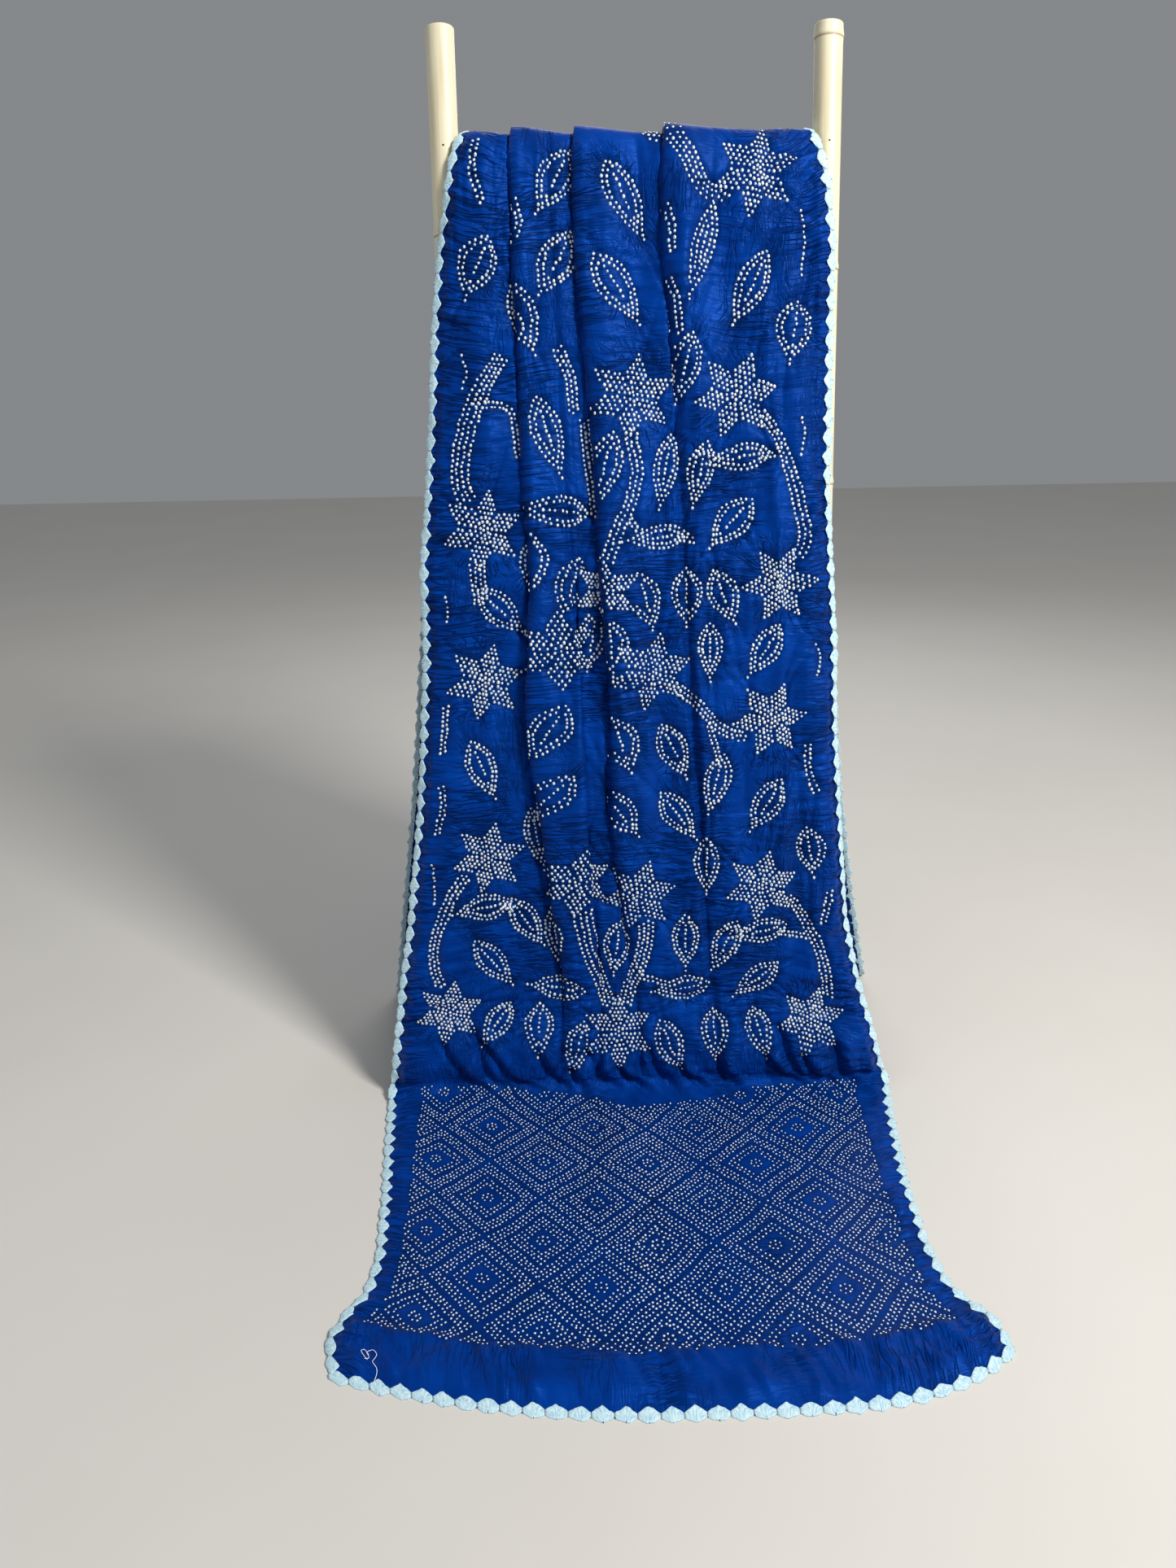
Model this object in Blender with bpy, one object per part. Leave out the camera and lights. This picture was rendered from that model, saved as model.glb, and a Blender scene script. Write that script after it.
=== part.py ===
# Bandhani cloth hung over a leaning bamboo ladder.
#
# The cloth is one long dyed silk length. It runs forward over the floor, climbs the
# front of the ladder, goes over the top rung and falls behind it to the floor again.
# A folded ribbon edging is sewn along its four edges. Metres, +Z up, front towards -Y.
# "run" is the distance along the cloth from its front hem, "across" is the X place.

import bmesh
import bpy
import numpy as np
from mathutils import Matrix, Vector

# Ladder
LEAN = 0.1658                 # how far the ladder leans back for each metre of height
FOOT_Y = 0.147                # pole axis at the floor
POLE_X = 0.2645               # pole axis from the middle
POLE_R = 0.0195
POLE_TOP = 1.517
POLE_SIDES = 14
KNUCKLE_PITCH = 0.290         # bamboo joints along a pole
KNUCKLE_FIRST = {"pole_left": 0.100, "pole_right": 0.050}
KNUCKLE_RISE = 0.0012
KNUCKLE_HALF = 0.007
RUNG_R = 0.016
RUNG_SIDES = 12
RUNG_COUNT = 5
RUNG_PITCH = 0.300
TOP_RUNG_Z = 1.3684
TENON_R = 0.010
TENON_LENGTH = 0.0130
SOCKET_SPARE = 0.0008         # socket depth past the tenon
GAP = 0.0003                  # between pieces that meet

# Cloth
THICK = 0.002
HEM_Y = -0.477
TAIL_Y = 0.477
FRONT_OFF = 0.0245            # cloth's middle in front of the plane of the pole axes
RUNG_SEAT = 0.0006            # between the rung and the cloth's inner face
BEND_Z = 1.300                # where the front turns in towards the rung
BACK_SLOPE = 5.0              # degrees, just behind the rung
BACK_Z = 1.200                # below this the back hangs plumb
KNEE_R = 0.035
BEND_R = 0.150
TAIL_R = 0.030
BOW_LEFT = 0.065              # how far the hem's corners lie behind its middle
BOW_RIGHT = 0.078
BOW_SIDE = 0.400              # where those depths are reached, from the middle
BOW_END = 0.560               # run at which the bow has faded out

# Places across the cloth for each run: both edges and the lines of its folds.
PLAN_COLUMNS = ("run", "left", "fold_1", "tube", "fold_2", "fold_3", "right")
PLAN = (
    (0.000, -0.412, -0.205, -0.120, -0.030, 0.130, 0.389),
    (0.0375, -0.417, -0.205, -0.120, -0.030, 0.130, 0.380),
    (0.0875, -0.404, -0.200, -0.118, -0.028, 0.128, 0.356),
    (0.125, -0.386, -0.195, -0.115, -0.026, 0.126, 0.346),
    (0.200, -0.378, -0.190, -0.110, -0.024, 0.124, 0.339),
    (0.325, -0.385, -0.180, -0.100, -0.020, 0.122, 0.345),
    (0.450, -0.395, -0.165, -0.090, -0.016, 0.120, 0.360),
    (0.5875, -0.404, -0.145, -0.080, -0.012, 0.118, 0.379),
    (0.6875, -0.390, -0.130, -0.076, -0.012, 0.110, 0.353),
    (0.775, -0.376, -0.126, -0.076, -0.020, 0.100, 0.329),
    (0.8625, -0.358, -0.134, -0.085, -0.030, 0.095, 0.311),
    (1.0375, -0.333, -0.147, -0.099, -0.042, 0.085, 0.2975),
    (1.1625, -0.320, -0.166, -0.104, -0.038, 0.075, 0.288),
    (1.2875, -0.3095, -0.160, -0.103, -0.041, 0.068, 0.2845),
    (1.4125, -0.306, -0.154, -0.108, -0.049, 0.062, 0.2755),
    (1.525, -0.294, -0.160, -0.112, -0.055, 0.056, 0.268),
    (1.6375, -0.2835, -0.163, -0.117, -0.062, 0.052, 0.2675),
    (1.750, -0.275, -0.165, -0.120, -0.072, 0.047, 0.267),
    (1.850, -0.2615, -0.167, -0.123, -0.080, 0.040, 0.261),
    (1.925, -0.247, -0.169, -0.125, -0.082, 0.040, 0.248),
    (1.9625, -0.230, -0.170, -0.125, -0.082, 0.042, 0.230),
    (2.075, -0.230, -0.168, -0.125, -0.082, 0.044, 0.230),
    (2.1625, -0.258, -0.172, -0.128, -0.084, 0.048, 0.252),
    (2.4625, -0.317, -0.190, -0.135, -0.085, 0.060, 0.284),
    (2.600, -0.337, -0.197, -0.138, -0.086, 0.066, 0.300),
    (3.000, -0.378, -0.215, -0.145, -0.086, 0.082, 0.348),
    (3.1875, -0.400, -0.224, -0.148, -0.086, 0.090, 0.378),
    (3.375, -0.426, -0.232, -0.152, -0.086, 0.098, 0.414),
    (3.475, -0.433, -0.234, -0.154, -0.086, 0.100, 0.424),
)

# Height of each fold above the cloth's lowest layer, and the width of the tube's far side.
HEIGHT_COLUMNS = ("run", "fold_1", "fold_2", "fold_3", "tube_side")
HEIGHTS = (
    (0.620, 0.000, 0.000, 0.000, 0.012),
    (0.750, 0.006, 0.000, 0.000, 0.006),
    (0.850, 0.020, 0.005, 0.000, 0.004),
    (1.050, 0.027, 0.018, 0.000, 0.004),
    (1.300, 0.025, 0.021, 0.000, 0.004),
    (1.420, 0.018, 0.020, 0.000, 0.014),
    (1.520, 0.016, 0.018, 0.000, 0.030),
    (1.640, 0.015, 0.016, 0.003, 0.034),
    (1.850, 0.015, 0.015, 0.014, 0.034),
    (2.010, 0.008, 0.009, 0.011, 0.034),
    (2.200, 0.012, 0.012, 0.012, 0.034),
    (2.800, 0.014, 0.012, 0.010, 0.034),
    (3.300, 0.012, 0.010, 0.010, 0.034),
    (3.400, 0.000, 0.000, 0.000, 0.034),
)
LIP_HALF = 0.004              # half the width of a fold's steep side
LIP_OVER = 0.013              # how far a fold's lip hangs over the layer below
LIP_FADE = 0.034              # how soon that sideways pull fades behind the lip
FULL_TUBE = 0.026             # height at which the tube's lips hang over that far
FULL_FOLD = 0.020             # the same for the other folds
FOLD_REACH = 0.055            # how far a fold's back slopes down

# Soft upright ridges between the folds: X at the floor, X at the rung, half width, height.
RIDGES = (
    (-0.315, -0.215, 0.026, 0.008),
    (0.175, 0.120, 0.034, 0.009),
    (0.285, 0.195, 0.024, 0.008),
)
RIDGE_FROM = 0.74             # runs between which the ridges stand
RIDGE_TO = 3.36
RIDGE_FADE = 0.12
RIDGE_ON_RUNG = 0.3           # share of their height left on the rung
RUNG_SPAN = 0.06              # how far from the rung they are still lowered
HANG = 1.3                    # length of cloth that hangs on each side of the rung

# The puffed band where the hanging cloth bunches above the floor.
PUFF_RUN = 0.664
PUFF_HALF = 0.034
PUFF_RISE = 0.021
PUFF_WAVE = 0.115             # length of its humps across the cloth
PUFF_UNEVEN = 0.22            # share by which the humps differ
LIFT_FROM = 0.60              # the floor part stays flat up to this run
LIFT_FADE = 0.03
TAIL_FADE = 0.05

# Stretches of mesh rows: run at the start, run at the stop, number of steps.
ROWS = (
    (0.000, 0.0875, 2),
    (0.0875, 0.125, 1),
    (0.125, 0.550, 4),
    (0.550, 0.625, 5),
    (0.625, 0.7375, 7),
    (0.7375, 0.850, 3),
    (0.850, 1.850, 13),
    (1.850, 1.9625, 3),
)
BACK_ROWS = (
    (2.0875, 2.1625, 2),
    (2.1625, 3.3625, 12),
)
WRAP_STEPS = 9
TAIL_STEPS = 4

# Ribbon edging: a row of lozenges
TRIM_PITCH = 0.025
TRIM_WIDE = 0.0120
TRIM_NARROW = 0.0050
TRIM_THICK = 0.0022


def material(name, colour, roughness, metallic=0.0):
    """A Principled material with one colour."""
    made = bpy.data.materials.new(name)
    made.use_nodes = True
    shader = made.node_tree.nodes["Principled BSDF"]
    shader.inputs["Base Color"].default_value = (*colour, 1.0)
    shader.inputs["Roughness"].default_value = roughness
    shader.inputs["Metallic"].default_value = metallic
    return made


def add_object(name, points, faces, finish):
    """One closed piece from its points and faces, with its faces turned outwards."""
    mesh = bpy.data.meshes.new(name)
    mesh.from_pydata([tuple(point) for point in points], [], faces)
    work = bmesh.new()
    work.from_mesh(mesh)
    bmesh.ops.triangulate(work, faces=work.faces)
    bmesh.ops.recalc_face_normals(work, faces=work.faces)
    work.to_mesh(mesh)
    work.free()
    mesh.shade_smooth()
    mesh.set_sharp_from_angle(angle=np.radians(40))
    mesh.materials.append(finish)
    made = bpy.data.objects.new(name, mesh)
    bpy.context.collection.objects.link(made)
    return made


def tube_faces(rings, sides):
    """Quads between neighbouring rings of points, and a cap on each end."""
    faces = [tuple(reversed(range(sides)))]
    for ring in range(rings - 1):
        low, high = ring * sides, (ring + 1) * sides
        for side in range(sides):
            after = (side + 1) % sides
            faces.append((low + side, low + after, high + after, high + side))
    faces.append(tuple(range((rings - 1) * sides, rings * sides)))
    return faces


def rise(value):
    """Smooth step from 0 at -1 to 1 at +1."""
    part = np.clip(value * 0.5 + 0.5, 0.0, 1.0)
    return part * part * (3.0 - 2.0 * part)


def column(table, names, name, run):
    """One named column of a table, read at each run."""
    rows = np.array(table)
    return np.interp(run, rows[:, 0], rows[:, names.index(name)])


def ladder_y(height):
    """Y of the plane of the pole axes at a height."""
    return FOOT_Y + LEAN * height


def cloth_corners():
    """Corners of the cloth's side view as (y, z, rounding radius), from hem to tail."""
    floor = THICK / 2
    wrap = RUNG_R + RUNG_SEAT + THICK / 2
    rung = np.array([ladder_y(TOP_RUNG_Z), TOP_RUNG_Z])
    front = FRONT_OFF * np.sqrt(1 + LEAN ** 2)
    knee_y = ladder_y(floor) - front
    bend_y = ladder_y(BEND_Z) - front
    reach = rung - np.array([bend_y, BEND_Z])
    slope = np.arctan2(reach[0], reach[1]) - np.arcsin(wrap / np.hypot(*reach))
    back = np.radians(BACK_SLOPE)
    front_top = rung[0] - wrap * (1 - np.sin(slope)) / np.cos(slope)
    back_top = rung[0] + wrap * (1 - np.sin(back)) / np.cos(back)
    back_y = back_top + (rung[1] + wrap - BACK_Z) * np.tan(back)
    return (
        (HEM_Y, floor, 0.0),
        (knee_y, floor, KNEE_R),
        (bend_y, BEND_Z, BEND_R),
        (front_top, rung[1] + wrap, wrap),
        (back_top, rung[1] + wrap, wrap),
        (back_y, BACK_Z, BEND_R),
        (back_y, floor, TAIL_R),
        (TAIL_Y, floor, 0.0),
    )


def cloth_path():
    """Side view as straight stretches and arcs: rows of (length, start, heading, turn)."""
    corners = np.array(cloth_corners())
    pieces = []
    here = corners[0, :2]
    for before, corner, after in zip(corners[:-2], corners[1:-1], corners[2:]):
        into = corner[:2] - before[:2]
        out = after[:2] - corner[:2]
        heading = np.arctan2(into[1], into[0])
        turn = np.arctan2(into[0] * out[1] - into[1] * out[0], into @ out)
        tangent = corner[2] * abs(np.tan(turn / 2))
        start = corner[:2] - tangent * into / np.hypot(*into)
        pieces.append((np.hypot(*(start - here)), *here, heading, 0.0))
        pieces.append((corner[2] * abs(turn), *start, heading, turn))
        here = corner[:2] + tangent * out / np.hypot(*out)
    pieces.append((np.hypot(*(corners[-1, :2] - here)), *here, 0.0, 0.0))
    return np.array(pieces)


PATH = cloth_path()
PATH_STARTS = np.concatenate(([0.0], np.cumsum(PATH[:, 0])))
CLOTH_LENGTH = PATH_STARTS[-1]
WRAP_START = PATH_STARTS[5]
WRAP_STOP = PATH_STARTS[8]
RUNG_RUN = (WRAP_START + WRAP_STOP) / 2
TAIL_START = PATH_STARTS[11]
TAIL_STOP = PATH_STARTS[12]


def path_at(run):
    """Y, Z and the outward direction (y, z) of the side view at each run."""
    index = np.clip(np.searchsorted(PATH_STARTS, run, side="right") - 1, 0, len(PATH) - 1)
    length, y, z, heading, turn = np.moveaxis(PATH[index], -1, 0)
    along = run - PATH_STARTS[index]
    bend = turn * along / np.maximum(length, 1e-9)
    chord = along * np.sinc(bend / (2 * np.pi))
    middle = heading + bend / 2
    facing = heading + bend + np.pi / 2
    return (
        y + chord * np.cos(middle),
        z + chord * np.sin(middle),
        np.cos(facing),
        np.sin(facing),
    )


def lip(distance):
    """Sideways pull behind a fold's lip: grows over its steep side, then fades."""
    behind = np.maximum(distance - LIP_HALF, 0.0)
    return rise(distance / LIP_HALF) * np.exp(-((behind / LIP_FADE) ** 2))


def fold_shape(across, run):
    """Height above the lowest layer and sideways pull of the folds at each place."""
    first = column(PLAN, PLAN_COLUMNS, "fold_1", run)
    tube = column(PLAN, PLAN_COLUMNS, "tube", run)
    side = column(HEIGHTS, HEIGHT_COLUMNS, "tube_side", run)
    high = column(HEIGHTS, HEIGHT_COLUMNS, "fold_1", run)
    far = 1.0 - rise((across - tube) / side)
    height = high * rise((across - first) / LIP_HALF) * far
    steep = LIP_HALF / side
    pull = steep * lip(tube - across) - far * lip(across - first)
    pull = pull * LIP_OVER * high / FULL_TUBE
    for name in ("fold_2", "fold_3"):
        place = column(PLAN, PLAN_COLUMNS, name, run)
        high = column(HEIGHTS, HEIGHT_COLUMNS, name, run)
        behind = np.maximum(across - place, 0.0) / FOLD_REACH
        height = height + high * rise((across - place) / LIP_HALF) * np.exp(-behind * behind)
        pull = pull - LIP_OVER * high / FULL_FOLD * lip(across - place)
    return height, pull


def ridge_height(across, run):
    """Height of the soft upright ridges, gone on the floor and low on the rung."""
    hanging = np.clip((run - RIDGE_FROM) / RIDGE_FADE, 0, 1)
    hanging = hanging * np.clip((RIDGE_TO - run) / RIDGE_FADE, 0, 1)
    away = np.abs(run - RUNG_RUN)
    on_rung = 1.0 - (1.0 - RIDGE_ON_RUNG) * np.exp(-((away / RUNG_SPAN) ** 2))
    climb = np.clip(1.0 - away / HANG, 0, 1)
    total = np.zeros_like(across)
    for low_x, top_x, half, height in RIDGES:
        place = low_x + (top_x - low_x) * climb
        total = total + height * np.exp(-(((across - place) / half) ** 2))
    return total * hanging * on_rung


def puff_height(across, run):
    """Humps of the bunched band just above the floor."""
    humps = 1.0 - PUFF_UNEVEN + PUFF_UNEVEN * np.sin(2 * np.pi * across / PUFF_WAVE + 0.8)
    return PUFF_RISE * humps * np.exp(-(((run - PUFF_RUN) / PUFF_HALF) ** 2))


def cloth_point(across, run):
    """Place in space of the cloth's middle surface."""
    side = np.abs(across) / BOW_SIDE
    bow = np.where(across > 0, BOW_RIGHT * side ** 4.5, BOW_LEFT * side ** 2)
    pulled = run + bow * np.clip(1.0 - run / BOW_END, 0.0, 1.0)
    y, z, facing_y, facing_z = path_at(pulled)
    height, pull = fold_shape(across, run)
    height = height + ridge_height(across, run) + puff_height(across, run)
    lifted = height * np.clip((pulled - LIFT_FROM) / LIFT_FADE, 0.0, 1.0)
    lifted = lifted * np.clip((TAIL_START - pulled) / TAIL_FADE, 0.0, 1.0)
    return np.stack((across + pull, y + facing_y * lifted, z + facing_z * lifted), axis=-1)


def row_places():
    """Runs of the mesh rows, closest over the rung and at the two knees."""
    places = [np.linspace(start, stop, steps, endpoint=False) for start, stop, steps in ROWS]
    places.append(np.array([ROWS[-1][1]]))
    places.append(np.linspace(WRAP_START, WRAP_STOP, WRAP_STEPS))
    places.extend(np.linspace(start, stop, steps, endpoint=False) for start, stop, steps in BACK_ROWS)
    places.append(np.linspace(TAIL_START, TAIL_STOP, TAIL_STEPS))
    places.append(np.array([CLOTH_LENGTH]))
    return np.unique(np.round(np.concatenate(places), 6))


def lane_places(run):
    """Places across the cloth of the mesh columns: close at each fold's lip, wide between."""
    left = column(PLAN, PLAN_COLUMNS, "left", run)
    right = column(PLAN, PLAN_COLUMNS, "right", run)
    marks = [left]
    for name in ("fold_1", "tube", "fold_2", "fold_3"):
        place = column(PLAN, PLAN_COLUMNS, name, run)
        marks.extend((place - LIP_HALF, place + LIP_HALF))
    marks.append(right)
    columns = []
    for index, steps in enumerate((5, 3, 3, 3, 3, 3, 4, 2, 6)):
        for step in range(steps):
            columns.append(marks[index] + (marks[index + 1] - marks[index]) * step / steps)
    columns.append(right)
    return np.stack(columns)


def surface_normals(grid):
    """Unit directions square to a grid of points, outwards from the ladder."""
    along = np.gradient(grid, axis=0)
    over = np.gradient(grid, axis=1)
    normals = np.cross(over, along)
    return normals / np.linalg.norm(normals, axis=2, keepdims=True)


def make_cloth(finish):
    """The cloth as one closed sheet, and its grid of middle points and directions."""
    runs = row_places()
    across = np.stack([lane_places(run) for run in runs])
    grid = cloth_point(across, np.repeat(runs[:, None], across.shape[1], axis=1))
    normals = surface_normals(grid)
    rows, lanes = across.shape
    outer = (grid + normals * THICK / 2).reshape(-1, 3)
    inner = (grid - normals * THICK / 2).reshape(-1, 3)
    count = rows * lanes
    faces = []
    for row in range(rows - 1):
        for lane in range(lanes - 1):
            corner = row * lanes + lane
            faces.append((corner, corner + 1, corner + lanes + 1, corner + lanes))
            below = corner + count
            faces.append((below, below + lanes, below + lanes + 1, below + 1))
    rim = list(range(lanes))
    rim += [row * lanes + lanes - 1 for row in range(1, rows)]
    rim += [(rows - 1) * lanes + lane for lane in range(lanes - 2, -1, -1)]
    rim += [row * lanes for row in range(rows - 2, 0, -1)]
    for here, after in zip(rim, rim[1:] + rim[:1]):
        faces.append((here, here + count, after + count, after))
    add_object("cloth", np.concatenate((outer, inner)), faces, finish)
    return runs, grid, normals


def make_trim(name, edge, inside, normals, finish):
    """A strip of lozenges along an edge: three-sided, its point outwards."""
    outward = edge - inside
    outward /= np.linalg.norm(outward, axis=1, keepdims=True)
    steps = np.linalg.norm(np.diff(edge, axis=0), axis=1)
    length = np.concatenate(([0.0], np.cumsum(steps)))
    half = TRIM_PITCH / 2
    places = np.union1d(np.arange(0.0, length[-1], half), length)
    keep = np.concatenate(([True], np.diff(places) > 0.15 * half))
    keep |= np.isin(places, length)
    places = places[keep]

    def along(values):
        return np.stack([np.interp(places, length, values[:, axis]) for axis in range(3)], axis=1)

    base, out, normal = along(edge), along(outward), along(normals)
    wave = np.abs((places / TRIM_PITCH) % 1.0 * 2.0 - 1.0)
    width = TRIM_WIDE + (TRIM_NARROW - TRIM_WIDE) * wave
    seat = base + out * GAP
    top = seat + normal * (TRIM_THICK - THICK / 2)
    low = seat - normal * THICK / 2
    tip = seat + out * width[:, None]
    points = np.stack((top, low, tip), axis=1).reshape(-1, 3)
    return add_object(name, points, tube_faces(len(places), 3), finish)


def make_trims(runs, grid, normals, finish):
    """The edging on both long sides and on both ends, which cover the corners."""
    make_trim("trim_left", grid[:, 0], grid[:, 1], normals[:, 0], finish)
    make_trim("trim_right", grid[:, -1], grid[:, -2], normals[:, -1], finish)
    for name, end, inner in (("trim_front", 0, 1), ("trim_back", -1, -2)):
        edge, inside, facing = grid[end], grid[inner], normals[end]
        first = edge[0] + (edge[0] - edge[1]) / np.linalg.norm(edge[0] - edge[1]) * TRIM_WIDE
        last = edge[-1] + (edge[-1] - edge[-2]) / np.linalg.norm(edge[-1] - edge[-2]) * TRIM_WIDE
        shift_first, shift_last = first - edge[0], last - edge[-1]
        edge = np.vstack((first, edge, last))
        inside = np.vstack((inside[0] + shift_first, inside, inside[-1] + shift_last))
        facing = np.vstack((facing[0], facing, facing[-1]))
        make_trim(name, edge, inside, facing, finish)


def ring(centre, axis, radius, sides):
    """Points of a circle about an axis, the first one towards +X or +Z."""
    axis = Vector(axis).normalized()
    start = Vector((0, 0, 1)) if abs(axis.x) > 0.9 else Vector((1, 0, 0))
    start = (start - axis * start.dot(axis)).normalized()
    return [
        Vector(centre) + Matrix.Rotation(2 * np.pi * side / sides, 3, axis) @ (start * radius)
        for side in range(sides)
    ]


def add_turned(name, stations, axis, sides, finish):
    """A turned piece: rings of points at (centre, radius) stations along an axis."""
    points = []
    for centre, radius in stations:
        points.extend(ring(centre, axis, radius, sides))
    return add_object(name, points, tube_faces(len(stations), sides), finish)


def rung_heights():
    """Heights of the rung axes, lowest first."""
    return [TOP_RUNG_Z - RUNG_PITCH * step for step in reversed(range(RUNG_COUNT))]


def make_pole(name, side, finish):
    """A bamboo pole with its joints and a blind socket for each rung."""
    axis = Vector((0, LEAN, 1)).normalized()
    stations = [(0.0, POLE_R)]
    knuckle = KNUCKLE_FIRST[name]
    while knuckle < POLE_TOP - KNUCKLE_HALF:
        stations.append((knuckle - KNUCKLE_HALF, POLE_R))
        stations.append((knuckle, POLE_R + KNUCKLE_RISE))
        stations.append((knuckle + KNUCKLE_HALF, POLE_R))
        knuckle += KNUCKLE_PITCH
    stations.append((POLE_TOP, POLE_R))
    placed = [((side * POLE_X, ladder_y(z), z), radius) for z, radius in stations]
    pole = add_turned(name, placed, axis, POLE_SIDES, finish)
    for vertex in pole.data.vertices[:POLE_SIDES]:
        vertex.co -= Vector(axis) * (vertex.co.z / axis.z)
    for number, height in enumerate(rung_heights(), start=1):
        centre = Vector((0, ladder_y(height), height))
        near = Vector((side * (POLE_X - POLE_R - 0.004), 0, 0))
        far = Vector((side * (POLE_X - POLE_R + TENON_LENGTH + SOCKET_SPARE), 0, 0))
        stations = [(centre + near, TENON_R + GAP), (centre + far, TENON_R + GAP)]
        cutter = add_turned(f"{name}_socket_{number}", stations, (1, 0, 0), RUNG_SIDES, finish)
        cutter.hide_render = True
        cutter.display_type = "WIRE"
        cut = pole.modifiers.new(f"Socket {number}", "BOOLEAN")
        cut.operation = "DIFFERENCE"
        cut.solver = "EXACT"
        cut.object = cutter
    return pole


def make_rung(number, height, finish):
    """A round rung with a tenon at each end that goes into the poles."""
    centre = Vector((0, ladder_y(height), height))
    shoulder = POLE_X - POLE_R - GAP
    end = POLE_X - POLE_R + TENON_LENGTH
    stations = []
    for place, radius in ((-end, TENON_R), (-shoulder, TENON_R), (-shoulder, RUNG_R)):
        stations.append((centre + Vector((place, 0, 0)), radius))
    for place, radius in ((shoulder, RUNG_R), (shoulder, TENON_R), (end, TENON_R)):
        stations.append((centre + Vector((place, 0, 0)), radius))
    return add_turned(f"rung_{number}", stations, (1, 0, 0), RUNG_SIDES, finish)


for leftover in list(bpy.data.objects):
    bpy.data.objects.remove(leftover, do_unlink=True)

silk = material("Dyed silk", (0.009, 0.075, 0.376), 0.42)
ribbon = material("Pleated ribbon", (0.48, 0.75, 0.89), 0.38)
bamboo = material("Bamboo", (0.76, 0.65, 0.42), 0.48)

cloth_runs, cloth_grid, cloth_normals = make_cloth(silk)
make_trims(cloth_runs, cloth_grid, cloth_normals, ribbon)
make_pole("pole_left", -1, bamboo)
make_pole("pole_right", 1, bamboo)
for rung_number, rung_height in enumerate(rung_heights(), start=1):
    make_rung(rung_number, rung_height, bamboo)
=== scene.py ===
# A long silk cloth dyed by tying and edged with ribbon, hung over a leaning bamboo ladder.
# Metres, +Z up, front towards -Y. "run" is the distance along the cloth from its front
# hem, "across" the distance to the right of its middle.

import bmesh
import bpy
import numpy as np
from mathutils import Matrix, Vector


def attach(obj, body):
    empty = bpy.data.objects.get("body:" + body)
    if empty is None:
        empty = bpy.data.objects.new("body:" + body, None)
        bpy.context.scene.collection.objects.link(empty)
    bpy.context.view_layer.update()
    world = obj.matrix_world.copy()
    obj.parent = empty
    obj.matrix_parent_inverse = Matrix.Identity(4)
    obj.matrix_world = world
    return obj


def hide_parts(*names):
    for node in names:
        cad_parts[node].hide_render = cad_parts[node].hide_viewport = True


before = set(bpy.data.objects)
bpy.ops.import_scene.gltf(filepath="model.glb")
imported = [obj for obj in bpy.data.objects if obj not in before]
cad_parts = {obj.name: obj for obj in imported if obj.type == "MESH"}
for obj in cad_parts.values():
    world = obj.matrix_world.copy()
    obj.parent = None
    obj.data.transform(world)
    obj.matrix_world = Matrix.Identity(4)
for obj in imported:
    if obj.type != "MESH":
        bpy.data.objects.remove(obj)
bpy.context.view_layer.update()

# Camera, floor and light
# A tall cloth seen from chest height close by, so the camera tips well down.
# The floor is a plain pale board under soft lamps, the strongest high on the right.
CAMERA_PLACE = (-0.126, -1.4635, 1.15)
CAMERA_YAW = 1.41             # degrees, to the right
CAMERA_TILT = 21.6            # degrees, down
CAMERA_ROLL = 0.92
CAMERA_LENS = 27.05           # mm, on a 36 mm frame
FLOOR_SIZE = 14.0
LAMPS = (
    # name, place, aimed at, size, watts, colour
    ("key", (1.9, -1.7, 3.0), (0.0, 0.1, 0.7), 0.8, 132, "#FFFBF5"),
    ("fill", (-2.3, -1.7, 1.5), (0.0, 0.2, 0.7), 2.2, 10, "#EEF4FF"),
    ("behind", (0.5, 2.6, 2.3), (0.0, 0.3, 0.7), 1.8, 18, "#FFFFFF"),
)


def linear(code):
    """The linear colour of an sRGB hex value."""
    parts = np.array([int(code[place:place + 2], 16) for place in (1, 3, 5)]) / 255.0
    parts = np.where(parts <= 0.04045, parts / 12.92, ((parts + 0.055) / 1.055) ** 2.4)
    return (*(float(part) for part in parts), 1.0)


def add_node(tree, kind, links=None, **settings):
    """A node with its settings, and for each input a value or another node's socket."""
    node = tree.nodes.new(kind)
    for name, value in settings.items():
        setattr(node, name, value)
    for name, value in (links or {}).items():
        if isinstance(value, bpy.types.NodeSocket):
            tree.links.new(value, node.inputs[name])
        else:
            node.inputs[name].default_value = value
    return node


def new_finish(name, **values):
    """A material, its node tree and its shader, with constant values on the shader."""
    finish = bpy.data.materials.new(name)
    finish.use_nodes = True
    shader = finish.node_tree.nodes["Principled BSDF"]
    for socket, value in values.items():
        shader.inputs[socket.replace("_", " ")].default_value = value
    return finish, finish.node_tree, shader


def aim(place, target):
    """Turns a lamp at a place so that it points at a target."""
    direction = Vector(target) - Vector(place)
    return direction.to_track_quat("-Z", "Y").to_euler()


def add_camera():
    """The camera: yaw about Z, then tilt down, then roll about its own line of sight."""
    yaw, tilt, roll = np.radians((CAMERA_YAW, CAMERA_TILT, CAMERA_ROLL))
    right = np.array((np.cos(yaw), -np.sin(yaw), 0.0))
    ahead = np.array((np.sin(yaw) * np.cos(tilt), np.cos(yaw) * np.cos(tilt), -np.sin(tilt)))
    up = np.cross(right, ahead)
    side = right * np.cos(roll) - up * np.sin(roll)
    top = right * np.sin(roll) + up * np.cos(roll)
    lens = bpy.data.cameras.new("camera")
    lens.lens = CAMERA_LENS
    lens.sensor_width = 36.0
    camera = bpy.data.objects.new("camera", lens)
    bpy.context.collection.objects.link(camera)
    camera.matrix_world = Matrix(
        [(side[row], top[row], -ahead[row], CAMERA_PLACE[row]) for row in range(3)] + [(0, 0, 0, 1)]
    )
    bpy.context.scene.camera = camera


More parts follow.
